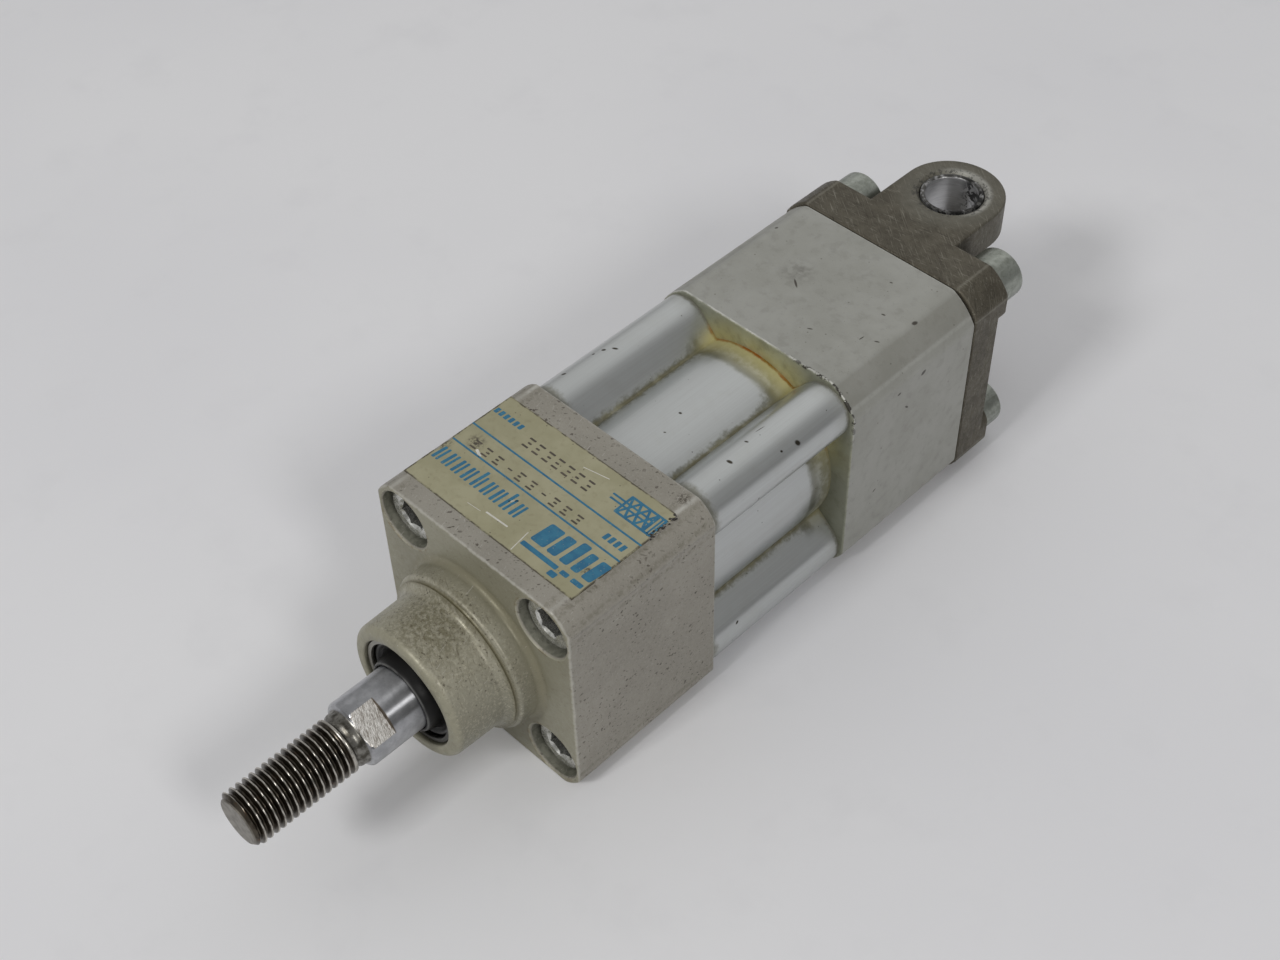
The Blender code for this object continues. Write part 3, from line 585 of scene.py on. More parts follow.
def barrel_look():
    k = Look("barrel_satin_aluminium", metal=0.92, spec=0.5)
    x, y, z = k.axes()
    yl = k.num("SUBTRACT", y, FACE_Y)
    lines = k.noise(1.6, 4, 0.6, 0.0, k.stretched(2.2, 0.035, 2.2))
    cloud = k.noise(0.22, 3, 0.55)
    colour = k.mix(k.step(lines, 0.25, 0.75), SILVER_A, SILVER_B)
    colour = k.mix(k.both(k.step(cloud, 0.5, 0.75), 0.15), colour, srgb(176, 176, 170))
    # grooves beside the lobes
    r = axis_radius(k)
    ax, az = k.num("ABSOLUTE", x), k.num("ABSOLUTE", k.num("SUBTRACT", z, AXIS_Z))
    low, high = k.num("MINIMUM", ax, az), k.num("MAXIMUM", ax, az)
    gap = k.vec("LENGTH", k.join(k.num("SUBTRACT", low, 9.2), k.num("SUBTRACT", high, 16.3), 0.0))
    ragged = k.num("ADD", gap, k.num("MULTIPLY", k.noise(0.7, 4, 0.6), 1.6))
    crease = k.step(ragged, 1.75, 0.75)
    wide = k.step(k.num("ADD", gap, k.num("MULTIPLY", k.noise(0.35, 4, 0.6), 3.4)), 4.6, 1.4)
    # ends
    tail = k.num("SUBTRACT", 66.7, yl)
    head = k.num("SUBTRACT", yl, 32.7)
    wavy = k.num("MULTIPLY", k.noise(0.45, 4, 0.6), 3.2)
    at_tail = k.step(k.num("ADD", tail, wavy), 6.2, 1.6)
    at_head = k.step(k.num("ADD", head, wavy), 3.6, 1.2)
    ends = k.most(k.both(at_tail, 0.95), k.both(at_head, 0.75))
    near_round = k.step(r, 22.6, 19.2)
    waver = k.num("MULTIPLY", k.noise(0.55, 4, 0.62), 0.55)
    tail_part = k.num("DIVIDE", k.num("MAXIMUM", k.num("SUBTRACT", 11.0, tail), 0.0), 11.0)
    head_part = k.num("DIVIDE", k.num("MAXIMUM", k.num("SUBTRACT", 4.5, head), 0.0), 6.5)
    side_part = k.num("DIVIDE", k.num("MAXIMUM", k.num("SUBTRACT", 5.0, gap), 0.0), 5.6)
    reach = k.num("ADD", k.vec("LENGTH", k.join(k.num("MAXIMUM", tail_part, head_part), side_part, 0.0)), waver)
    thumb = k.both(k.step(reach, 0.86, 1.22), near_round)
    ragged_end = k.noise(1.0, 4, 0.65)
    seam = k.most(k.step(k.num("ADD", tail, k.num("MULTIPLY", ragged_end, 1.3)), 1.6, 0.8), k.step(k.num("ADD", head, k.num("MULTIPLY", ragged_end, 2.2)), 3.6, 1.8))
    dirt = k.most(k.both(wide, 0.22), k.most(k.both(ends, k.mix_value(near_round, 0.30, 0.45)), k.both(thumb, 0.75)))
    colour = k.mix(k.both(dirt, 0.72), colour, srgb(112, 111, 90))
    outline_dirt = k.both(k.both(k.step(k.num("ABSOLUTE", k.num("SUBTRACT", reach, 1.12)), 0.20, 0.04), near_round), k.step(k.noise(0.8, 4, 0.65), 0.34, 0.56))
    colour = k.mix(k.both(outline_dirt, 0.50), colour, srgb(88, 86, 66))
    colour = k.mix(k.both(crease, 0.68), colour, srgb(120, 115, 80))
    dark_line = k.step(k.num("ADD", gap, k.num("MULTIPLY", k.noise(0.9, 3, 0.6), 0.5)), 0.85, 0.45)
    colour = k.mix(k.both(dark_line, k.step(k.noise(0.3, 3, 0.6), 0.38, 0.58, (0.1, 0.60))), colour, srgb(84, 79, 54))
    colour = k.mix(k.both(seam, 0.70), colour, srgb(88, 84, 58))
    # the dark arc on the round part, ahead of the yellow band
    band = k.both(k.step(k.num("ABSOLUTE", k.num("SUBTRACT", k.num("ADD", tail, k.num("MULTIPLY", k.noise(0.5, 4, 0.6), 1.6)), 5.2)), 1.6, 0.2), near_round)
    colour = k.mix(k.both(band, 0.62), colour, srgb(84, 83, 66))
    yellow = k.both(k.step(tail, 6.5, 0.6), k.both(near_round, k.step(z, 24.0, 36.0, (0.25, 1.0))))
    colour = k.mix(k.both(yellow, 0.85), colour, srgb(196, 188, 134))
    rust = k.both(k.step(k.num("ADD", tail, k.num("MULTIPLY", k.noise(1.0, 4, 0.65), 0.9)), 1.25, 0.75), k.step(z, 26.0, 36.0))
    rust = k.both(rust, k.step(k.noise(0.22, 2), 0.35, 0.55, (0.60, 1.0)))
    colour = k.mix(k.both(rust, near_round), colour, k.mix(k.step(k.noise(0.5, 3), 0.4, 0.6), srgb(148, 90, 24), srgb(140, 108, 44)))
    # nicks on the lobes
    marks = None
    for centre, reach, width in (
        ((-17.5, 47.0, 21.4), (0.7, 0.5, 0), 0.28), ((-16.2, 48.5, 21.5), (1.0, 0.6, 0), 0.22), ((-18.2, 45.2, 21.2), (0.4, 0.4, 0), 0.2),
        ((-18.4, 38.3, 21.1), (0.8, 0.6, 0), 0.28), ((-11.6, 36.6, 19.4), (0.4, 0.4, 0), 0.22), ((-14.0, 52.2, 21.3), (0.4, 0.3, 0), 0.2),
        ((16.4, 42.3, 21.5), (1.2, 0.2, 0), 0.30), ((15.2, 47.6, 21.5), (0.9, 0.2, 0), 0.2), ((14.8, 51.0, 21.4), (0.4, 2.6, 0), 0.10),
        ((20.4, 54.6, 19.6), (0.9, 0.7, -0.6), 0.42), ((20.0, 51.0, 20.0), (0.5, 0.4, 0), 0.2), ((0.8, 47.0, 18.6), (0.6, 0.2, 0), 0.22),
        ((13.5, 55.5, 21.0), (0.3, 1.6, 0), 0.10), ((2.0, 42.0, 18.5), (0.4, 0.3, 0), 0.12), ((21.5, 44.0, 15.0), (0, 0.4, 0.6), 0.18),
        ((21.0, 40.0, -14.0), (0, 0.8, 0.4), 0.2), ((-21.4, 50.0, 16.0), (0, 1.2, 0.4), 0.25), ((-18.5, 44.0, 2.0), (0, 0.8, 0.5), 0.2),
    ):
        mark = k.nick(row(*centre), tuple(1.25 * v for v in reach), 1.35 * width)
        marks = mark if marks is None else k.most(marks, mark)
    stray = k.both(k.step(k.cells(0.5), 0.08, 0.04), k.step(k.cells(0.5, out="Color"), 0.62, 0.7))
    marks = k.most(marks, k.both(stray, 0.7))
    colour = k.mix(k.both(marks, 0.95), colour, srgb(56, 49, 36))
    rough = k.step(lines, 0.2, 0.8, (0.285, 0.315))
    rough = k.num("ADD", rough, k.both(k.most(dirt, crease), 0.25))
    metal = k.num("SUBTRACT", 0.92, k.both(k.most(k.most(dirt, k.most(crease, seam)), k.most(rust, yellow)), 0.70))
    height = k.num("SUBTRACT", k.both(lines, 0.35), k.both(marks, 2.5))
    return k.done(colour, rough=rough, metal=metal, height=height, strength=0.025, distance=0.04)


def clevis_look():
    k = Look("clevis_ground_metal", metal=0.55, spec=0.4)
    x, y, z = k.axes()
    yl = k.num("SUBTRACT", y, FACE_Y)
    blotch = k.noise(0.25, 4, 0.6)
    colour = k.mix(k.step(blotch, 0.35, 0.65), CLEVIS_A, CLEVIS_B)
    # fine ground lines that cross the top on the slant, and run up and down the sides
    top = k.noise(1.0, 3, 0.6, 0.2, k.stretched(0.22, 4.4, 0.6, (0, 0, 37)))
    cross = k.noise(1.0, 3, 0.6, 0.2, k.stretched(0.22, 3.6, 3.6, (52, 0, -8)))
    lines = k.num("MAXIMUM", top, k.num("SUBTRACT", cross, 0.02))
    bright = k.step(lines, 0.56, 0.72)
    dark = k.step(k.num("MINIMUM", top, cross), 0.42, 0.28)
    colour = k.mix(k.both(bright, 0.70), colour, srgb(142, 139, 127))
    colour = k.mix(k.both(dark, 0.58), colour, srgb(44, 40, 34))
    pores = k.step(k.noise(3.6, 2, 0.5), 0.64, 0.70)
    colour = k.mix(k.both(pores, 0.5), colour, srgb(40, 36, 30))
    # pale line along the plate's bevel edges: a painted highlight
    worn = k.both(k.step(k.num("ADD", bevel_line(k, E / 2, 5.0), k.num("MULTIPLY", k.noise(2.0, 4, 0.65), 0.6)), 0.75, 0.35), k.step(yl, 109.6, 109.3))
    colour = k.mix(k.both(worn, 0.40), colour, srgb(140, 137, 125))
    # the eye is paler as a painted highlight, with a painted highlight on one side of the band round the bush
    from_pin = k.vec("LENGTH", k.join(x, k.num("SUBTRACT", yl, 121.0), 0.0))
    pale = k.step(from_pin, 12.5, 7.5)
    colour = k.mix(k.both(pale, 0.42), colour, srgb(124, 123, 113))
    around_bore = k.step(k.num("ABSOLUTE", k.num("SUBTRACT", from_pin, 6.7)), 1.2, 0.2)
    ring = k.both(around_bore, k.step(k.vec("DOT_PRODUCT", k.vec("SUBTRACT", k.p, row(0, 121.0, 22.5)), (0.10, 0.13, 0.0)), -0.3, 0.7))
    colour = k.mix(k.both(ring, 0.62), colour, srgb(186, 185, 178))
    soot = k.both(k.step(k.num("ABSOLUTE", k.num("SUBTRACT", from_pin, 6.6)), 1.3, 0.2), k.step(k.noise(1.5, 4, 0.65), 0.50, 0.60))
    colour = k.mix(k.both(soot, 0.65), colour, srgb(52, 51, 50))
    rough = k.step(k.noise(0.8, 3), 0.3, 0.7, (0.42, 0.58))
    height = k.num("SUBTRACT", k.num("ADD", lines, k.both(k.noise(7, 2), 0.3)), k.both(pores, 0.7))
    return k.done(colour, rough=rough, height=height, strength=0.30, distance=0.05)


def bush_look():
    k = Look("clevis_bush_worn_steel", metal=0.8)
    x, y, z = k.axes()
    lines = k.noise(1.0, 3, 0.6, 0.1, k.stretched(0.4, 0.4, 5.0))
    colour = k.mix(k.step(lines, 0.2, 0.8), srgb(178, 178, 179), srgb(206, 206, 207))
    grease = k.both(k.step(k.noise(0.65, 5, 0.7, 0.6), 0.45, 0.53), k.step(x, -2.2, 0.8))
    colour = k.mix(k.both(k.step(z, 44.5, 44.8), k.step(k.noise(1.1, 4, 0.65), 0.34, 0.56, (0.45, 1.0))), colour, srgb(78, 77, 74))
    colour = k.mix(k.both(grease, 0.92), colour, srgb(26, 25, 24))
    rough = k.num("ADD", k.step(lines, 0.3, 0.7, (0.32, 0.40)), k.both(grease, 0.1))
    return k.done(colour, rough=rough, height=lines, strength=0.12, distance=0.04)


def screw_look(name, a, b, stain, rough_range, centre_front):
    k = Look(name, metal=0.85)
    cloud = k.noise(0.9, 4, 0.6)
    fine = k.noise(5.0, 3, 0.6)
    colour = k.mix(k.step(cloud, 0.35, 0.65), a, b)
    colour = k.mix(k.both(k.step(k.noise(1.7, 4, 0.65, 0.5), 0.52, 0.68), 0.35), colour, stain)
    colour = k.mix(k.both(k.step(fine, 0.68, 0.76), 0.45), colour, srgb(60, 56, 48))
    if centre_front > 50:                    # painted dark reflection bands along the heads that stand free
        band = k.step(k.noise(0.42, 2, 0.5, 0.2, k.stretched(1.0, 0.1, 1.0)), 0.44, 0.60)
        colour = k.mix(k.both(band, 0.32), colour, srgb(92, 95, 85))
    _, y, _ = k.axes()
    yl = k.num("SUBTRACT", y, FACE_Y)
    deep = k.step(k.num("MULTIPLY", k.num("SUBTRACT", yl, centre_front), 1.0 if centre_front < 50 else -1.0), 0.7, 3.0)
    x, _, z = k.axes()
    away = k.vec("LENGTH", k.join(k.num("SUBTRACT", k.num("ABSOLUTE", x), SCREW), 0.0,
                                  k.num("SUBTRACT", k.num("ABSOLUTE", k.num("SUBTRACT", z, AXIS_Z)), SCREW)))
    # painted shade deep in the hex socket
    socket = k.both(k.step(away, 3.15, 2.95), deep)
    colour = k.mix(k.both(socket, 0.70), colour, srgb(34, 32, 30))
    rough = k.step(cloud, 0.3, 0.7, rough_range)
    return k.done(colour, rough=rough, height=k.num("ADD", k.both(fine, 0.6), k.both(cloud, 0.5)), strength=0.10, distance=0.05)


def rod_look():
    k = Look("rod_chrome_and_thread", metal=1.0)
    x, y, z = k.axes()
    yl = k.num("SUBTRACT", y, FACE_Y)
    r = axis_radius(k)
    # chrome
    hair = k.noise(1.0, 3, 0.6, 0.1, k.stretched(0.3, 9.0, 0.3))
    scuff = k.step(k.noise(2.2, 3, 0.6, 0.3, k.stretched(1.0, 1.6, 1.0)), 0.62, 0.72)
    cloudy = k.noise(0.55, 4, 0.6)
    chrome = k.mix(k.step(cloudy, 0.3, 0.7), CHROME_A, CHROME_B)
    chrome = k.mix(k.both(scuff, 0.35), chrome, srgb(120, 118, 114))
    # thread: oiled dark flanks, thin bright crests
    in_thread = k.step(yl, -29.0, -29.6)
    grime = k.mix(k.step(k.noise(0.8, 4, 0.6), 0.4, 0.65), srgb(86, 80, 71), srgb(64, 58, 51))
    rusty = k.step(k.noise(0.5, 3, 0.6), 0.60, 0.70)
    grime = k.mix(k.both(rusty, 0.5), grime, srgb(92, 66, 44))
    crest = k.step(r, 4.82, 4.94)
    crest = k.both(crest, k.step(k.noise(0.9, 3, 0.6), 0.30, 0.55, (0.55, 1.0)))
    thread = k.mix(crest, grime, srgb(192, 188, 180))
    colour = k.mix(in_thread, chrome, thread)
    # wrench flats
    a = math.radians(FLAT_TURN)
    normal = (math.sin(a), 0.0, math.cos(a))
    centred = k.join(x, 0.0, k.num("SUBTRACT", z, AXIS_Z))
    depth = k.num("ABSOLUTE", k.vec("DOT_PRODUCT", centred, normal))
    flats = k.both(k.step(k.num("ABSOLUTE", k.num("SUBTRACT", depth, 5.0)), 0.03, 0.012), k.both(k.step(yl, -22.3, -22.45), k.step(yl, -28.0, -27.2)))
    across = k.noise(1.0, 4, 0.65, 1.2, k.stretched(1.1, 7.5, 1.1, (0, 0, 22)))
    flat_colour = k.mix(k.step(across, 0.38, 0.60), srgb(150, 143, 134), srgb(244, 242, 238))
    colour = k.mix(flats, colour, flat_colour)
    step_wall = k.both(k.step(k.num("ABSOLUTE", k.num("ADD", yl, 22.38)), 0.16, 0.04), k.step(depth, 4.9, 5.0))
    colour = k.mix(k.both(step_wall, k.step(r, 6.05, 5.95)), colour, srgb(106, 96, 84))
    # neck
    neck = k.both(k.step(yl, -29.6, -29.2), k.step(yl, -27.15, -27.3))
    neck_colour = k.mix(k.step(k.noise(0.9, 4, 0.6), 0.35, 0.65), srgb(140, 138, 132), srgb(82, 79, 72))
    colour = k.mix(neck, colour, neck_colour)
    # tip
    tip = k.step(yl, -48.9, -49.1)
    tip_colour = k.mix(k.step(k.noise(0.7, 4, 0.6), 0.35, 0.65), srgb(120, 116, 108), srgb(150, 146, 138))
    colour = k.mix(tip, colour, tip_colour)
    k.bsdf.inputs["Anisotropic Rotation"].default_value = 0.25
    around = k.tree.nodes.new("ShaderNodeTangent")
    around.direction_type, around.axis = "RADIAL", "Y"
    k.link(around.outputs[0], k.bsdf.inputs["Tangent"])
    rough = k.step(cloudy, 0.25, 0.75, (0.31, 0.35))
    rough = k.num("ADD", rough, k.both(scuff, 0.12))
    plain = k.flip(k.most(k.most(in_thread, neck), flats))
    k.feed(k.bsdf.inputs["Anisotropic"], k.both(plain, 0.95))
    rough = k.mix_value(in_thread, rough, 0.30)
    rough = k.mix_value(k.both(in_thread, crest), rough, 0.30)
    rough = k.mix_value(flats, rough, 0.44)
    rough = k.mix_value(neck, rough, 0.34)
    rough = k.mix_value(tip, rough, 0.42)
    height = k.num("ADD", k.num("MULTIPLY", hair, 0.04), k.both(flats, k.both(across, 2.2)))
    height = k.num("ADD", height, k.both(tip, k.noise(2.0, 3)))
    return k.done(colour, rough=rough, height=height, strength=0.35, distance=0.05)


def label_look():
    k = Look("label_cream_foil", rough=0.42, spec=0.45)
    x, y, z = k.axes()
    yl = k.num("SUBTRACT", y, FACE_Y)
    age = k.noise(0.12, 4, 0.6)
    colour = k.mix(k.step(age, 0.35, 0.65), LABEL_A, LABEL_B)
    colour = k.mix(k.both(k.step(k.noise(0.8, 4, 0.6), 0.5, 0.72), 0.25), colour, srgb(120, 112, 84))
    # dark dirt round the edge
    dx = k.num("MINIMUM", k.num("ADD", x, 19.85), k.num("SUBTRACT", 19.35, x))
    dy = k.num("MINIMUM", k.num("SUBTRACT", yl, 3.95), k.num("SUBTRACT", 27.55, yl))
    rim = k.num("ADD", k.num("MINIMUM", dx, dy), k.num("MULTIPLY", k.noise(1.3, 3, 0.6), 0.35))
    gaps = k.step(k.noise(0.5, 3, 0.6), 0.36, 0.52, (0.25, 1.0))
    colour = k.mix(k.both(k.both(k.step(rim, 0.58, 0.34), gaps), 0.85), colour, srgb(56, 48, 38))
    specks = k.both(k.step(k.cells(0.8), 0.14, 0.07), k.step(k.cells(0.8, out="Color"), 0.60, 0.7))
    colour = k.mix(k.both(specks, 0.7), colour, srgb(74, 62, 46))
    grime = k.most(k.blob(row(-16.0, 16.4, 22.5), 2.2, 0.9), k.most(k.blob(row(-19.5, 12.5, 22.5), 1.8, 0.9), k.blob(row(17.0, 9.6, 22.5), 1.3, 0.8)))
    colour = k.mix(k.both(grime, k.step(k.noise(1.6, 4, 0.65), 0.38, 0.62)), colour, srgb(70, 62, 52))
    rough = k.step(k.noise(1.1, 3), 0.3, 0.7, (0.36, 0.50))
    height = k.num("ADD", k.both(k.noise(0.5, 2), 0.7), k.both(k.noise(4.0, 3), 0.3))
    return k.done(colour, rough=rough, height=height, strength=0.12, distance=0.05)


def ink_look(name, colour_a, colour_b, wear_colour, wear=0.63):
    k = Look(name, rough=0.45)
    colour = k.mix(k.step(k.noise(0.6, 3), 0.35, 0.65), colour_a, colour_b)
    rubbed = k.step(k.noise(2.2, 4, 0.7), wear, wear + 0.06)
    colour = k.mix(rubbed, colour, wear_colour)
    return k.done(colour, rough=k.step(k.noise(2.0, 3), 0.3, 0.7, (0.38, 0.52)))


def rubber_look(name, base=(18, 18, 19), rough=(0.26, 0.40), dusty=0.35):
    k = Look(name, spec=0.5)
    dust = k.step(k.noise(1.2, 4, 0.65), 0.55, 0.75)
    colour = k.mix(k.both(dust, dusty), srgb(*base), srgb(62, 60, 56))
    return k.done(colour, rough=k.step(k.noise(1.5, 3), 0.3, 0.7, rough), height=k.noise(4.0, 3), strength=0.03, distance=0.04)


def metal_look(name, a, b, rough=(0.25, 0.4), stretch=(0.3, 6.0, 0.3), metal=0.95):
    """Turned or drawn metal: fine lines in the drawn direction and a cloudy tone."""
    k = Look(name, metal=metal)
    lines = k.noise(1.0, 3, 0.6, 0.1, k.stretched(*stretch))
    cloud = k.noise(0.4, 4, 0.6)
    colour = k.mix(k.step(lines, 0.3, 0.7), srgb(*a), srgb(*b))
    colour = k.mix(k.both(k.step(cloud, 0.5, 0.75), 0.3), colour, srgb(*[c * 0.72 for c in a]))
    return k.done(colour, rough=k.step(lines, 0.3, 0.7, rough), height=lines, strength=0.12, distance=0.03)


TAUPE_A, TAUPE_B, TAUPE_LIGHT = srgb(156, 152, 142), srgb(146, 142, 132), srgb(172, 168, 158)
CHAMPAGNE_A, CHAMPAGNE_B = srgb(148, 145, 127), srgb(136, 133, 115)
REAR_A, REAR_B, REAR_DARK = srgb(163, 163, 157), srgb(155, 155, 148), srgb(134, 133, 126)
SILVER_A, SILVER_B = srgb(191, 193, 192), srgb(197, 200, 199)
CLEVIS_A, CLEVIS_B = srgb(96, 91, 79), srgb(83, 78, 67)
CHROME_A, CHROME_B = srgb(166, 167, 170), srgb(192, 193, 196)
LABEL_A, LABEL_B = srgb(163, 159, 131), srgb(152, 148, 119)

# ------------------------------------------------------------------ front cap
boss = (
    [(-15.95, 0), (-15.95, 11.3)] + arc(-14.45, 11.3, 1.5, 180, 90, 7)[1:]
    + arc(-6.7, 14.4, 1.4, 270, 352, 7)
    + [(-5.2, 14.42), (-5.0, 14.28), (-4.85, 14.28), (-4.7, 14.42)]
    + arc(-3.85, 14.35, 0.75, 172, 90, 6)
    + arc(-1.25, 16.35, 1.25, 270, 360, 7)
    + [(0.6, 16.35), (0.6, 15.0), (33.0, 15.0), (33.0, 15.7), (33.9, 15.7), (33.9, 14.0), (36.3, 14.0),
       (36.3, 15.7), (37.2, 15.7), (37.2, 0)]
)
mouth = ([(-17, 0), (-17, 10.75)] + [(-15.95, 10.65)] + arc(-15.5, 10.65, 0.45, 180, 270, 4)[1:]
         + [(-8.9, 10.2), (-8.9, 8.2), (9.0, 8.2), (9.0, 9.6), (35.0, 9.6), (35.0, 13.0), (38.2, 13.0), (38.2, 0)])
front_bores = merged(*[
    lathe([(-1, 0), (-1, 6.15), (0.0, 5.85), (0.35, 5.5), (8.6, 5.5), (8.6, 3.3), (34, 3.3), (34, 0)], 48, centre=(x, 0, z))
    for x, z in CORNERS])
PORT = [(-1, 0), (-1, 5.4), (0, 5.2), (0.6, 4.6)]
for turn in range(9):                      # thread-like rings in the G1/8 port
    PORT += [(0.9 + turn * 0.9, 4.6), (1.15 + turn * 0.9, 4.35), (1.35 + turn * 0.9, 4.6)]
PORT += [(9.0, 4.6), (9.0, 2.0), (17.0, 2.0), (17.0, 0)]


def port_at(y):
    return lathe(PORT, 48, axis_to="X", centre=(-E / 2, y, 0))


front_cap = solved(prism(E / 2, 4.0, 0.0, 32.7, 0.45),
                   ("UNION", lathe(boss, 120)), ("DIFFERENCE", lathe(mouth, 120)),
                   ("DIFFERENCE", front_bores), ("DIFFERENCE", port_at(13.0)))
put("front_cap_body", front_cap, front_cap_look(), "housing", "front_cap", smooth=28)

# ------------------------------------------------------------------ label
rng = random.Random(7)
FOIL, INK = 22.535, 22.55


def torn_edge():
    """Outline of the foil: straight but for the crumbled right rear corner and a small lifted flap."""
    points = [(-19.8, 4.0), (19.25, 4.0), (19.3, 8.8), (19.0, 9.4), (19.3, 10.1), (19.3, 20.6)]
    y = 21.0
    while y < 27.3:
        points.append((19.15 - rng.uniform(0.0, 0.75), y))
        y += rng.uniform(0.25, 0.5)
    points += [(18.6, 27.5), (-19.8, 27.5), (-19.8, 14.6), (-19.5, 13.9), (-19.75, 12.4), (-19.45, 11.0), (-19.8, 10.2)]
    return points


def stroke(points, width, lift=0.0):
    """A line of print: one thin slab for each straight run, each a hair higher than the last where they cross."""
    bits = []
    for turn, ((x0, y0), (x1, y1)) in enumerate(zip(points, points[1:])):
        top = INK + lift + 0.003 * turn
        d = Vector((x1 - x0, y1 - y0))
        n = Vector((-d.y, d.x)).normalized() * width / 2
        e = d.normalized() * width * 0.25
        bits.append(slab([(x0 - e.x + n.x, y0 - e.y + n.y), (x0 - e.x - n.x, y0 - e.y - n.y),
                          (x1 + e.x - n.x, y1 + e.y - n.y), (x1 + e.x + n.x, y1 + e.y + n.y)], FOIL - 0.01, top))
    return bits


def bar(x0, y0, x1, y1, slant=0.0, corner=0.18):
    """A printed block with small rounded corners."""
    pts = []
    for cx, cy, a0 in ((x1 - corner, y1 - corner, 0), (x0 + corner, y1 - corner, 90), (x0 + corner, y0 + corner, 180), (x1 - corner, y0 + corner, 270)):
        for i in range(4):
            a = math.radians(a0 + 30 * i)
            px, py = cx + corner * math.cos(a), cy + corner * math.sin(a)
            pts.append((px + slant * (py - y0), py))
    return slab(pts, FOIL - 0.01, INK)


put("label_foil_sheet", slab(torn_edge(), 22.30, FOIL), label_look(), "housing", "label_plate", smooth=25)
blue = []
blue += stroke([(-19.4, 14.35), (19.1, 14.35)], 0.36)
blue += stroke([(-19.7, 18.95), (19.25, 18.95)], 0.36)
for x0, x1, y0, y1 in ((16.9, 18.9, 8.1, 12.7), (14.5, 16.1, 8.1, 12.7), (12.0, 13.8, 8.1, 13.4), (9.2, 11.2, 8.1, 12.7), (5.6, 8.6, 8.1, 12.7)):
    blue.append(bar(x0, y0, x1, y1, 0.10, 0.4))
for x0, x1, y0, y1 in ((5.2, 13.2, 6.3, 7.2), (14.0, 15.6, 6.3, 7.2), (16.4, 18.7, 6.3, 7.2), (12.6, 14.2, 4.9, 6.0)):
    blue.append(bar(x0, y0, x1, y1, 0.05, 0.2))
for i in range(9):                          # plain light bars where the second word stood
    x0 = -19.2 + 2.3 * i
    blue.append(bar(x0, 9.2, x0 + 0.62, 12.3 + (0.9 if i in (4, 7) else 0.0), 0.1, 0.2))
    blue.append(bar(x0 + 1.0, 9.2, x0 + 1.5, 12.3, 0.1, 0.18))
for i in range(4):
    blue.append(bar(13.6 + 1.2 * i, 15.9, 14.4 + 1.2 * i, 17.3, 0.1, 0.15))
for i in range(6):
    blue.append(bar(-19.4 + 1.15 * i, 23.1, -18.65 + 1.15 * i, 24.3, 0.1, 0.12))
# plain schematic of a spring-return cylinder
blue += stroke([(11.2, 21.3), (18.7, 21.3), (18.7, 25.3), (11.2, 25.3), (11.2, 21.3)], 0.46)
blue += stroke([(8.6, 22.9), (17.2, 22.9)], 0.36, 0.015)
blue += stroke([(8.4, 23.8), (17.2, 23.8)], 0.36, 0.015)
blue += stroke([(17.2, 21.5), (17.2, 25.1)], 0.60, 0.027)
blue += stroke([(18.1, 21.5), (18.1, 25.1)], 0.34)
for x0 in (11.5, 13.4, 15.3):
    blue += stroke([(x0, 21.5), (x0 + 1.7, 25.1)], 0.44, 0.019)
    blue += stroke([(x0 + 1.7, 21.5), (x0, 25.1)], 0.44, 0.023)
put("label_blue_print", merged(*blue), ink_look("label_blue_ink", srgb(32, 100, 134), srgb(44, 114, 144), srgb(150, 152, 132)),
    "housing", smooth=25, weighted=False)
dark = []
for i in range(10):
    x0 = -16.3 + 2.65 * i
    if i in (3, 6):
        dark.append(bar(x0 + 0.4, 15.8, x0 + 1.4, 16.1, 0, 0.1))
        continue
    dark.append(bar(x0, 15.0, x0 + 1.35, 15.35, 0.1, 0.12))
    dark.append(bar(x0, 16.5, x0 + 1.35, 16.85, 0.1, 0.12))
    dark.append(bar(x0 + (0.1, 0.5)[i % 2], 15.75, x0 + (0.8, 1.25)[i % 2], 16.1, 0.1, 0.12))
for i in range(7):
    x0 = -10.3 + 2.3 * i
    dark.append(bar(x0, 21.0, x0 + 1.4, 21.38, 0.1, 0.12))
    dark.append(bar(x0, 22.9, x0 + 1.4, 23.28, 0.1, 0.12))
    dark.append(bar(x0 + (0.5, 0.1)[i % 2], 21.95, x0 + (1.3, 0.9)[i % 2], 22.3, 0.1, 0.12))
put("label_typed_print", merged(*dark), ink_look("label_dark_ink", srgb(70, 64, 54), srgb(86, 78, 66), srgb(150, 144, 118), 0.66),
    "housing", smooth=25, weighted=False)
white = []
for a, b, w in (((-3.3, 7.1), (1.3, 7.3), 0.30), ((5.2, 4.5), (4.6, 8.7), 0.16), ((0.8, 24.5), (5.7, 25.5), 0.14), ((-2.5, 11.1), (-1.4, 12.2), 0.2),
                ((-14.6, 15.2), (-13.2, 14.6), 0.5), ((-7.0, 6.4), (-4.2, 6.6), 0.1)):
    white += stroke([a, b], w)
put("label_scratches", merged(*white), ink_look("label_scratch_white", srgb(214, 212, 204), srgb(200, 198, 188), srgb(190, 184, 160), 0.6),
    "housing", smooth=25, weighted=False)
crumbs = []
for i in range(46):
    y = 20.8 + 6.9 * rng.random()
    x = 18.95 + rng.uniform(-0.55, 0.55)
    size = rng.uniform(0.08, 0.26)
    bm = bmesh.new()
    bmesh.ops.create_icosphere(bm, subdivisions=1, radius=size)
    for v in bm.verts:
        v.co = Vector((v.co.x * rng.uniform(0.6, 1.4), v.co.y * rng.uniform(0.6, 1.5), v.co.z * 0.45)) + Vector((x, y, 22.52))
    crumbs.append(bm)
k = Look("label_glue_crumbs", rough=0.5)
crumb_mat = k.done(k.mix(k.step(k.noise(1.3, 3, 0.6), 0.52, 0.62), srgb(38, 32, 27), srgb(150, 146, 138)), rough=0.45)
put("label_torn_crumbs", merged(*crumbs), crumb_mat, "housing", smooth=20, weighted=False)

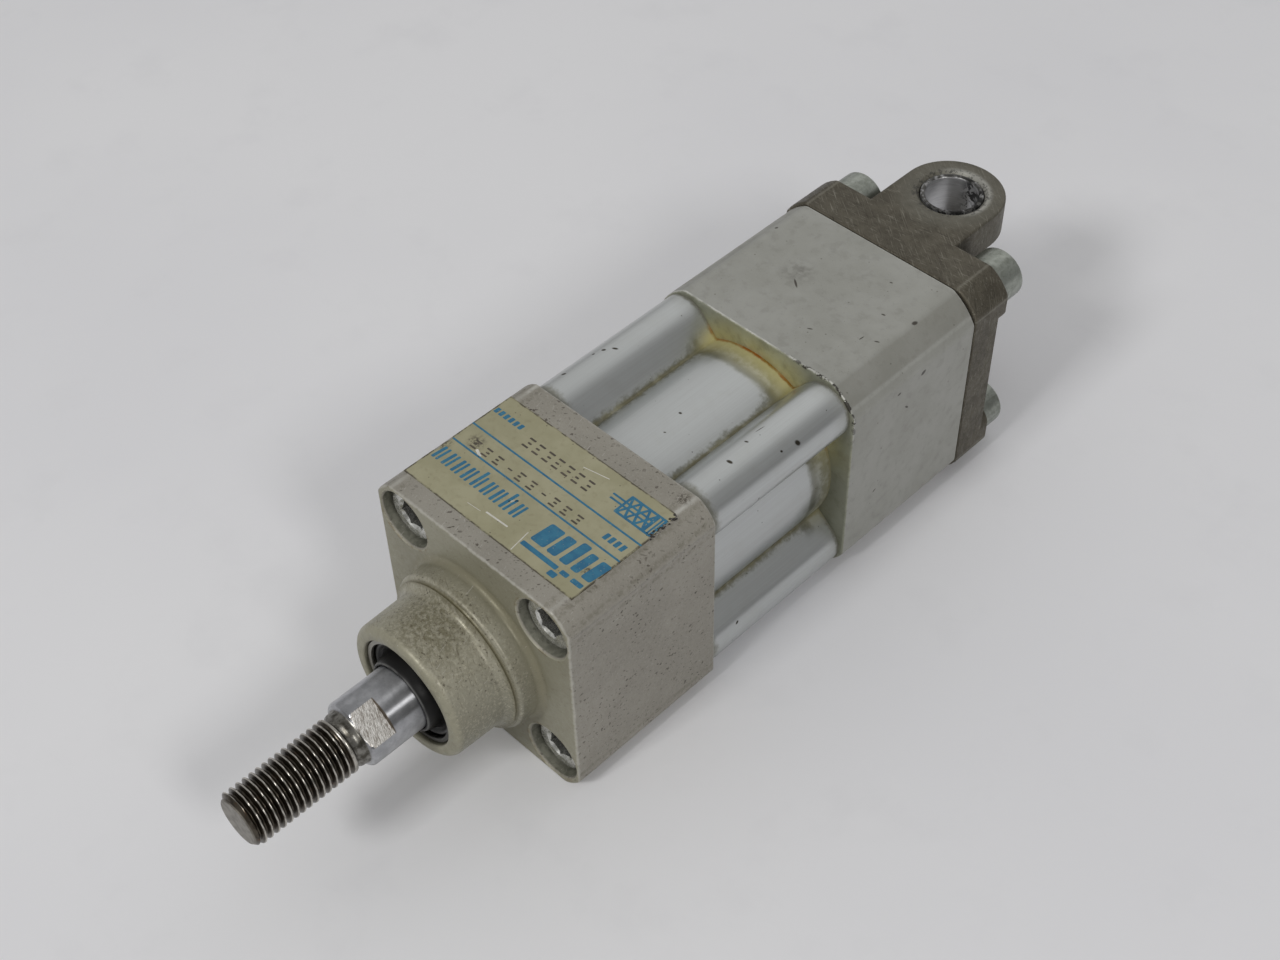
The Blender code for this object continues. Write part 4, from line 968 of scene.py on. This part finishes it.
# ------------------------------------------------------------------ barrel
LOBE_R, BARREL_R, JUNCTION = 5.3, 18.6, (9.2, 16.3)


def barrel_outline(lobe_steps=22, round_steps=26):
    cx = cz = SCREW
    dx, dz = cx - JUNCTION[0], cz - JUNCTION[1]
    reach = math.hypot(dx, dz)
    side = math.asin(LOBE_R / reach)
    heading = math.atan2(dz, dx) + side
    run = math.sqrt(reach ** 2 - LOBE_R ** 2)
    touch = (JUNCTION[0] + run * math.cos(heading), JUNCTION[1] + run * math.sin(heading))
    start = math.atan2(touch[1] - cz, touch[0] - cx)
    end = math.pi / 2 - start
    lobe = [(cx + LOBE_R * math.cos(start + (end - start) * i / lobe_steps),
             cz + LOBE_R * math.sin(start + (end - start) * i / lobe_steps)) for i in range(lobe_steps + 1)]
    # the junction stays a plain corner here; softened() later rounds it, which keeps a thin highlight there
    first = math.atan2(JUNCTION[1], JUNCTION[0])
    quarter = [JUNCTION] + lobe + [(JUNCTION[1], JUNCTION[0])]
    quarter.reverse()
    quarter += [(BARREL_R * math.cos(first + (math.pi - 2 * first) * i / round_steps),
                 BARREL_R * math.sin(first + (math.pi - 2 * first) * i / round_steps)) for i in range(1, round_steps)]
    points = []
    for turn in range(4):
        c, s = math.cos(turn * math.pi / 2), math.sin(turn * math.pi / 2)
        points += [(x * c - z * s, x * s + z * c) for x, z in quarter]
    return points


def softened(points, reach=0.42):
    """Cuts sharp inner corners of an outline with a two-step fillet."""
    out, count = [], len(points)
    for i, p in enumerate(points):
        a, b = Vector(points[i - 1]), Vector(points[(i + 1) % count])
        p = Vector(p)
        u, v = (a - p), (b - p)
        if u.angle(v) < math.radians(165):
            lu, lv = min(reach, u.length * 0.45), min(reach, v.length * 0.45)
            q0, q1 = p + u.normalized() * lu, p + v.normalized() * lv
            for t in (0.0, 0.25, 0.5, 0.75, 1.0):
                out.append(tuple(q0 * (1 - t) ** 2 + p * 2 * t * (1 - t) + q1 * t ** 2))
        else:
            out.append(tuple(p))
    return out


section = softened(barrel_outline())
barrel = solved(loft([[(x, y, z) for x, z in section] for y in (32.72, 66.68)]),
                ("DIFFERENCE", lathe([(30, 0), (30, 16.0), (70, 16.0), (70, 0)], 96)),
                ("DIFFERENCE", merged(*[lathe([(30, 0), (30, 3.3), (70, 3.3), (70, 0)], 32, centre=(x, 0, z)) for x, z in CORNERS])))
put("barrel_profile", barrel, barrel_look(), "housing", "barrel", smooth=30)

# ------------------------------------------------------------------ rear cap
rear_cap = solved(prism(E / 2, 6.0, 66.7, 99.8, 0.4, steps=16),
                  ("UNION", lathe([(62.2, 0), (62.2, 15.7), (63.1, 15.7), (63.1, 14.0), (65.5, 14.0), (65.5, 15.7), (66.4, 15.7), (66.4, 15.0), (70, 15.0), (70, 0)], 96)),
                  ("DIFFERENCE", lathe([(61.2, 0), (61.2, 13.0), (64.4, 13.0), (64.4, 9.6), (90, 9.6), (90, 0)], 96)),
                  ("DIFFERENCE", merged(*[lathe([(65, 0), (65, 3.3), (101, 3.3), (101, 0)], 32, centre=(x, 0, z)) for x, z in CORNERS])),
                  ("DIFFERENCE", port_at(86.8)))
put("rear_cap_body", rear_cap, rear_cap_look(), "housing", "rear_cap", smooth=28)

# ------------------------------------------------------------------ rear clevis
PIN_Y, EYE_R, PRONG = 121.0, 10.0, 6.9


def tongue(edge=0.45, steps=4):
    """The eye's bar, drawn from -Z to +Z, with its outer edges rounded."""
    def ring(d):
        pts = [(EYE_R - d, 101.0)] + [((EYE_R - d) * math.cos(math.radians(a)), PIN_Y + (EYE_R - d) * math.sin(math.radians(a))) for a in range(0, 181, 5)]
        return pts + [(-EYE_R + d, 101.0)]
    half = E / 2
    lower = sorted((-half + edge * (1 - math.cos(math.radians(90 * i / steps))), edge * (1 - math.sin(math.radians(90 * i / steps)))) for i in range(steps + 1))
    upper = [(-z, d) for z, d in reversed(lower)]
    return loft([[(x, y, z) for x, y in ring(d)] for z, d in lower + upper])


clevis = solved(prism(E / 2, 5.0, 100.0, 109.5, 0.45, steps=14),
                ("UNION", tongue()),
                ("DIFFERENCE", solved(block((-30, 107.1, -E / 2 + PRONG), (30, 140, E / 2 - PRONG)),
                                      ("DIFFERENCE", merged(*[lathe([(105, 0), (105, 6.5), (109.5, 6.5), (109.5, 0)], 48, centre=(x, 0, z)) for x, z in CORNERS])))),
                ("DIFFERENCE", lathe([(-30, 0), (-30, 6.7), (-22.5, 6.7), (-22.0, 6.1), (22.0, 6.1), (22.5, 6.7), (30, 6.7), (30, 0)], 64, axis_to="Z", centre=(0, PIN_Y, 0))),
                ("DIFFERENCE", merged(*[lathe([(99, 0), (99, 3.3), (112, 3.3), (112, 0)], 32, centre=(x, 0, z)) for x, z in CORNERS])))
put("rear_clevis_body", clevis, clevis_look(), "housing", "rear_clevis", smooth=28)
bush_metal = bush_look()
for which, low_z in (("upper", E / 2 - PRONG + 0.1), ("lower", -E / 2 + 0.1)):
    high_z = low_z + PRONG - 0.2
    over = 1.7 if which == "upper" else -1.7        # the photo shows no floor through the bore: the bush runs on
    if over > 0:
        low_z -= over
    else:
        high_z -= over
    profile = ([(low_z, 5.45)] + [(low_z, 5.75), (low_z + 0.12, 5.9), (high_z - 0.12, 5.9), (high_z, 5.75), (high_z, 5.45)]
               + arc(high_z - 0.5, 5.45, 0.5, 0, -90, 4)[1:] + [(low_z + 0.5, 4.95)] + arc(low_z + 0.5, 5.45, 0.5, 270, 180, 4)[1:-1])
    put("clevis_bush_" + which + "_ring", lathe(profile, 64, ring=True, axis_to="Z", centre=(0, PIN_Y, 0)), bush_metal,
        "housing", "clevis_bush_" + which, smooth=40)

# ------------------------------------------------------------------ screws


def cap_screw(length, forward):
    """Socket-head screw with its head's face at y 0, pointing to +Y (forward) or -Y."""
    profile = ([(0.0, 0.0), (0.0, 4.45)] + arc(0.55, 4.45, 0.55, 180, 90, 5)[1:] + [(5.8, 5.0), (6.0, 4.8), (6.0, 3.25), (6.25, 3.0)])
    y = 6.6
    while y < 6.0 + length - 1.0:            # fine rings stand for the thread, inside the holes
        profile += [(y, 3.0), (y + 0.5, 2.72)]
        y += 1.0
    profile += [(6.0 + length - 0.5, 2.9), (6.0 + length, 2.4), (6.0 + length, 0.0)]
    hexagon = [(2.5 / math.cos(math.pi / 6) * math.cos(math.radians(60 * i + 30)), 2.5 / math.cos(math.pi / 6) * math.sin(math.radians(60 * i + 30))) for i in range(6)]
    socket = loft([[(x, -1.0, z) for x, z in hexagon], [(x, 3.3, z) for x, z in hexagon]])
    bm = solved(lathe(profile, 48), ("DIFFERENCE", socket), ("DIFFERENCE", lathe([(-0.5, 0), (-0.5, 3.55), (0.0, 3.05), (0.42, 2.62), (0.42, 0)], 48)),
                ("DIFFERENCE", lathe([(3.0, 0), (3.0, 2.3), (4.1, 0)], 24)))
    if not forward:
        bmesh.ops.rotate(bm, verts=bm.verts, matrix=Matrix.Rotation(math.pi, 3, "Z"))
    return bm


front_zinc = screw_look("front_screw_bright_zinc", srgb(196, 196, 190), srgb(222, 222, 218), srgb(140, 138, 124), (0.20, 0.32), 1.7)
rear_zinc = screw_look("rear_screw_dull_zinc", srgb(166, 170, 162), srgb(146, 150, 142), srgb(108, 111, 99), (0.30, 0.42), 115.8)
for number, (x, z) in enumerate(CORNERS, 1):
    for which, start, length, mat in (("front", 1.7, 35.0, front_zinc), ("rear", 115.8, 55.0, rear_zinc)):
        bm = cap_screw(length, which == "front")
        spin = math.radians((17, 41, 5, 29)[number - 1] + (0 if which == "front" else 11))
        bmesh.ops.rotate(bm, verts=bm.verts, matrix=Matrix.Rotation(spin, 3, "Y"))
        bmesh.ops.translate(bm, verts=bm.verts, vec=(x, start, z))
        put(f"{which}_cap_screw_{number}", bm, mat, "housing", f"{which}_screw_{number}", smooth=28)

# ------------------------------------------------------------------ piston rod with its thread
PITCH, MAJOR, MINOR = 1.25, 5.0, 4.24


def rod_rows():
    """(y, envelope radius, thread amplitude share, flats) for each ring of the rod."""
    rows_ = []

    def add(y, r, thread=0.0, flats=False):
        rows_.append((y, r, thread, flats))

    add(-49.2, 0.0)
    add(-49.2, 1.6)
    add(-49.2, 3.2)
    add(-49.2, 4.05)
    y = -49.15
    while y < -29.75:
        edge = min(1.0, (y + 49.2) / 0.95)
        env = 4.05 + 0.95 * edge
        fade = 1.0 if y < -30.9 else max(0.0, (-29.75 - y) / 1.15)
        add(y, env, fade)
        y += PITCH / 14
    add(-29.75, 5.0)
    for y, r in ((-29.6, 4.92), (-29.42, 4.66), (-29.25, 4.45), (-29.08, 4.42), (-28.9, 4.5), (-28.7, 4.66), (-28.5, 4.80), (-28.2, 4.88), (-27.9, 4.90), (-27.6, 4.90), (-27.4, 4.94), (-27.2, 5.1)):
        add(y, r)
    add(-27.2, 5.25, 0.0, True)
    for a in (0, 30, 60, 90):
        add(-26.5 - 0.62 * math.cos(math.radians(a)) + 0.0, 5.38 + 0.62 * math.sin(math.radians(a)), 0.0, True)
    for y in (-25.6, -24.6, -23.6, -22.45):
        add(y, 6.0, 0.0, True)
    add(-22.36, 6.0)
    for y in (-21.0, -17.0, -13.0, -8.0, 0.0, 10.0, 20.0, 30.0, 40.0):
        add(y, 6.0)
    for y, r in ((42.3, 6.0), (42.5, 5.8), (42.5, 4.0), (66.9, 4.0), (67.6, 3.4), (67.6, 0.0)):
        add(y, r)
    return rows_


def rod_mesh():
    half = math.degrees(math.acos(5.0 / 6.0))
    angles = []
    for base in (90 - FLAT_TURN, 270 - FLAT_TURN):     # direction of each flat's normal, from +X towards +Z
        angles += [base - half + 2 * half * i / 14 for i in range(15)]
        angles += [base + half + (180 - 2 * half) * i / 38 for i in range(1, 38)]
    normals = [90 - FLAT_TURN, 270 - FLAT_TURN]
    bm = bmesh.new()
    rings = []
    for y, env, thread, flats in rod_rows():
        if env < 1e-6:
            rings.append([bm.verts.new((0, y, 0))])
            continue
        ring = []
        for a in angles:
            r = env
            if thread > 0:
                t = ((y - PITCH * a / 360.0) / PITCH) % 1.0
                d = abs(t - 0.5) * 2                    # 1 at the crest, 0 at the root
                h = min(1.0, max(0.0, (d - 0.16) / (0.875 - 0.16)))
                h = h if h > 0.12 else h * h / 0.12 * 0.5 + h * 0.5
                r = min(r, MAJOR - (MAJOR - MINOR) * thread * (1 - h))
            if flats:
                for n in normals:
                    off = math.radians((a - n + 180) % 360 - 180)
                    if abs(off) < math.pi / 2:
                        r = min(r, 5.0 / math.cos(off))
            ring.append(bm.verts.new((r * math.cos(math.radians(a)), y, r * math.sin(math.radians(a)))))
        rings.append(ring)
    count = len(angles)
    for low, high in zip(rings, rings[1:]):
        for i in range(count):
            j = (i + 1) % count
            if len(low) == 1:
                bm.faces.new((low[0], high[i], high[j]))
            elif len(high) == 1:
                bm.faces.new((low[i], high[0], low[j]))
            else:
                bm.faces.new((low[i], high[i], high[j], low[j]))
    bmesh.ops.recalc_face_normals(bm, faces=bm.faces)
    return bm


put("piston_rod_threaded", rod_mesh(), rod_look(), "rod", "piston_rod", smooth=30)

# ------------------------------------------------------------------ seals at the boss
rubber = rubber_look("seal_black_rubber", (29, 29, 30), (0.24, 0.32), 0.14)


def wiper_look():
    """The seal's rubber with painted highlights: a thin bright ring near its lip and a fainter one at its foot."""
    k = Look("wiper_black_rubber", spec=0.28)
    r = axis_radius(k)
    dust = k.step(k.noise(1.2, 4, 0.65), 0.55, 0.75)
    colour = k.mix(k.both(dust, 0.08), srgb(12, 11, 10), srgb(56, 54, 50))
    patchy = k.step(k.noise(0.3, 2), 0.36, 0.56, (0.30, 1.0))
    # painted highlight rings, patchy
    ring = k.both(k.step(k.num("ABSOLUTE", k.num("SUBTRACT", r, 6.62)), 0.16, 0.05), patchy)
    foot = k.both(k.step(k.num("ABSOLUTE", k.num("SUBTRACT", r, 8.75)), 0.22, 0.08), patchy)
    colour = k.mix(k.both(k.most(ring, k.both(foot, 0.6)), 0.50), colour, srgb(118, 118, 116))
    return k.done(colour, rough=k.step(k.noise(1.5, 3), 0.3, 0.7, (0.38, 0.48)), height=k.noise(4.0, 3), strength=0.03, distance=0.04)


def ring_look():
    """The retaining ring: grey steel, with painted shade over all but its left side, where it is lit."""
    k = Look("ring_steel_shaded_side", metal=0.8)
    x, _, z = k.axes()
    lines = k.noise(1.0, 3, 0.6, 0.1, k.stretched(6.0, 0.3, 6.0))
    colour = k.mix(k.step(lines, 0.3, 0.7), srgb(138, 136, 128), srgb(166, 164, 156))
    # painted shade over the ring, except its lit left side
    shade_right = k.step(k.num("ADD", x, k.num("MULTIPLY", k.noise(0.6, 4, 0.6), 5.0)), -3.5, 1.0)
    colour = k.mix(k.both(shade_right, 0.86), colour, srgb(40, 39, 36))
    return k.done(colour, rough=k.step(lines, 0.3, 0.7, (0.30, 0.42)), height=lines, strength=0.10, distance=0.03)


wiper = wiper_look()
lip = [(-16.5, 6.15), (-16.75, 6.22), (-16.88, 6.38), (-16.85, 6.56), (-16.65, 6.72), (-16.1, 6.9), (-15.4, 7.12), (-14.7, 7.34), (-14.25, 7.52),
       (-13.95, 7.72), (-13.85, 7.95), (-14.0, 8.2), (-14.25, 8.36), (-14.42, 8.56), (-14.46, 8.82), (-14.35, 9.08), (-14.15, 9.2), (-14.15, 9.85),
       (-9.2, 9.9), (-9.3, 6.9), (-12.3, 6.15)]
put("rod_wiper_seal", lathe(lip, 96, ring=True), wiper, "housing", "rod_seal", smooth=50)
ring_profile = [(-15.2, 9.25), (-15.12, 9.2), (-14.68, 9.2), (-14.6, 9.25), (-14.6, 9.95), (-15.2, 9.95)]
put("seal_ring_steel", lathe(ring_profile, 96, ring=True), ring_look(),
    "housing", "seal_retaining_ring", smooth=40)

# ------------------------------------------------------------------ return spring
def spring():
    """Round-wire compression spring with closed ends, on the CAD spring's centreline."""
    mean, wire = 7.8, 0.75
    low, high = 9.3 + wire, 42.5 - wire
    rise_closed = 2 * wire + 0.12
    turns, dead, steps, sides = 8, 1, 48, 14
    rise_open = (high - low - 2 * dead * rise_closed) / (turns - 2 * dead)
    bm = bmesh.new()
    previous, along = None, low
    for s in range(turns * steps + 1):
        t = s / steps
        a = 2 * math.pi * t
        ring = []
        for i in range(sides):
            b = 2 * math.pi * i / sides
            radius = mean + wire * math.cos(b)
            ring.append(bm.verts.new((radius * math.cos(a), along + wire * math.sin(b), radius * math.sin(a))))
        if previous:
            for i in range(sides):
                j = (i + 1) % sides
                bm.faces.new((previous[i], ring[i], ring[j], previous[j]))
        else:
            bm.faces.new(ring)
        previous = ring
        closed = t < dead or t >= turns - dead
        along += (rise_closed if closed else rise_open) / steps
    bm.faces.new(previous)
    bmesh.ops.recalc_face_normals(bm, faces=bm.faces)
    return bm


if "return_spring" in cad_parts:
    coil = put("return_spring_wire", spring(), metal_look("spring_bright_wire", (150, 152, 156), (176, 178, 182), (0.25, 0.38), (3, 3, 3)),
               "housing", "return_spring", smooth=60, weighted=False)
    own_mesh(coil)

# ------------------------------------------------------------------ carried-over CAD nodes
carried = {
    "rod_bush": metal_look("bush_bronze_metal", (170, 130, 78), (198, 158, 100), (0.28, 0.42)),
    "piston_front": metal_look("piston_turned_aluminium", (176, 178, 180), (204, 206, 208), (0.26, 0.4)),
    "piston_nut": metal_look("nut_zinc_metal", (176, 176, 170), (200, 200, 196), (0.28, 0.42)),
    "magnet_ring": rubber_look("magnet_dark_ferrite", (44, 42, 40), (0.5, 0.65)),
    "guide_ring": rubber_look("guide_brown_ptfe", (118, 92, 62), (0.4, 0.5)),
    "front_bumper": rubber_look("bumper_grey_rubber", (50, 50, 54), (0.5, 0.65)),
}
carried["piston_rear"] = carried["piston_front"]
carried["rear_bumper"] = carried["front_bumper"]
for name in ("front_cap_oring", "rear_cap_oring", "piston_seal_front", "piston_seal_rear"):
    carried[name] = rubber
for name, mat in carried.items():
    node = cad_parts[name]
    for i in range(len(node.material_slots)):
        node.material_slots[i].material = mat

# ------------------------------------------------------------------ floor
k = Look("floor_pale", rough=0.62, spec=0.25)
floor_tone = k.mix(k.step(k.noise(0.006, 4, 0.5), 0.35, 0.65), srgb(231, 231, 234), srgb(236, 236, 238))
floor_tone = k.mix(k.both(k.step(k.noise(0.05, 4, 0.6), 0.5, 0.75), 0.25), floor_tone, srgb(222, 222, 225))
floor_mat = k.done(floor_tone, height=k.noise(0.35, 4, 0.6), strength=0.06, distance=0.4)
bm = bmesh.new()
bmesh.ops.create_grid(bm, x_segments=24, y_segments=24, size=2.2)
bmesh.ops.translate(bm, verts=bm.verts, vec=(0, 0, -0.00005))
mesh = bpy.data.meshes.new("floor")
bm.to_mesh(mesh)
bm.free()
mesh.materials.append(floor_mat)
floor = bpy.data.objects.new("floor", mesh)
bpy.context.scene.collection.objects.link(floor)

# ------------------------------------------------------------------ light
scene = bpy.context.scene
WALL = 0.42
world = bpy.data.worlds.new("soft_studio")
scene.world = world
world.use_nodes = True
nodes, links = world.node_tree.nodes, world.node_tree.links
coord = nodes.new("ShaderNodeTexCoord")
split = nodes.new("ShaderNodeSeparateXYZ")
links.new(coord.outputs["Generated"], split.inputs[0])


def sky(op, first, second):
    node = nodes.new("ShaderNodeMath")
    node.operation = op
    for socket, value in zip(node.inputs, (first, second)):
        if isinstance(value, bpy.types.NodeSocket):
            links.new(value, socket)
        else:
            socket.default_value = value
    return node.outputs[0]


def ramp(value, start, end, low, high):
    node = nodes.new("ShaderNodeMapRange")
    node.interpolation_type = "SMOOTHSTEP"
    links.new(value, node.inputs["Value"])
    for key, number in (("From Min", start), ("From Max", end), ("To Min", low), ("To Max", high)):
        node.inputs[key].default_value = number
    return node.outputs["Result"]


dx, dy, dz = split.outputs[:3]
# the room: a pale wall and ceiling behind the object and to the left, a darker side on the right, a dim horizon
wall = sky("MULTIPLY", ramp(dy, 0.34, 0.54, 0.0, 1.0), sky("MULTIPLY", ramp(dx, -0.05, 0.60, 1.0, 0.0), ramp(dx, -0.95, -0.25, 0.62, 1.0)))
level = sky("ADD", ramp(dx, -0.9, 0.9, 0.42, 0.26), sky("MULTIPLY", wall, WALL))
level = sky("MULTIPLY", level, ramp(dz, 0.0, 0.40, 0.62, 1.0))
links.new(level, nodes["Background"].inputs["Color"])
nodes["Background"].inputs["Strength"].default_value = 1.0


def softbox(name, at, size, power, tint=(1, 1, 1)):
    light = bpy.data.lights.new(name, "AREA")
    light.shape = "RECTANGLE"
    light.size, light.size_y = size
    light.energy = power
    light.color = tint
    obj = bpy.data.objects.new(name, light)
    bpy.context.scene.collection.objects.link(obj)
    obj.location = at
    obj.rotation_euler = (Vector((0, 0.01, 0.02)) - Vector(at)).to_track_quat("-Z", "Y").to_euler()
    return obj


softbox("softbox_right", (1.50, -0.32, 1.29), (0.40, 0.40), 7.6, (1.0, 0.99, 0.975))
softbox("softbox_front", (0.0, -1.486, 1.338), (0.40, 0.36), 12.0, (1.0, 0.995, 0.985))

# ------------------------------------------------------------------ camera
camera_data = bpy.data.cameras.new("photo_camera")
camera_data.sensor_width = 36.0
camera_data.lens = 52.056
camera_data.clip_start, camera_data.clip_end = 0.01, 20.0
camera = bpy.data.objects.new("photo_camera", camera_data)
bpy.context.scene.collection.objects.link(camera)
R0, R1, R2 = ((0.71129568, 0.7026092, -0.01996897), (0.5038948, -0.52951974, -0.68242133), (-0.49004947, 0.47534109, -0.73068623))
pose = Matrix((R0, tuple(-v for v in R1), tuple(-v for v in R2))).transposed().to_4x4()
pose.translation = (0.154636, -0.153041, 0.261616)
camera.matrix_world = pose
scene.camera = camera
scene.view_settings.view_transform = "Standard"
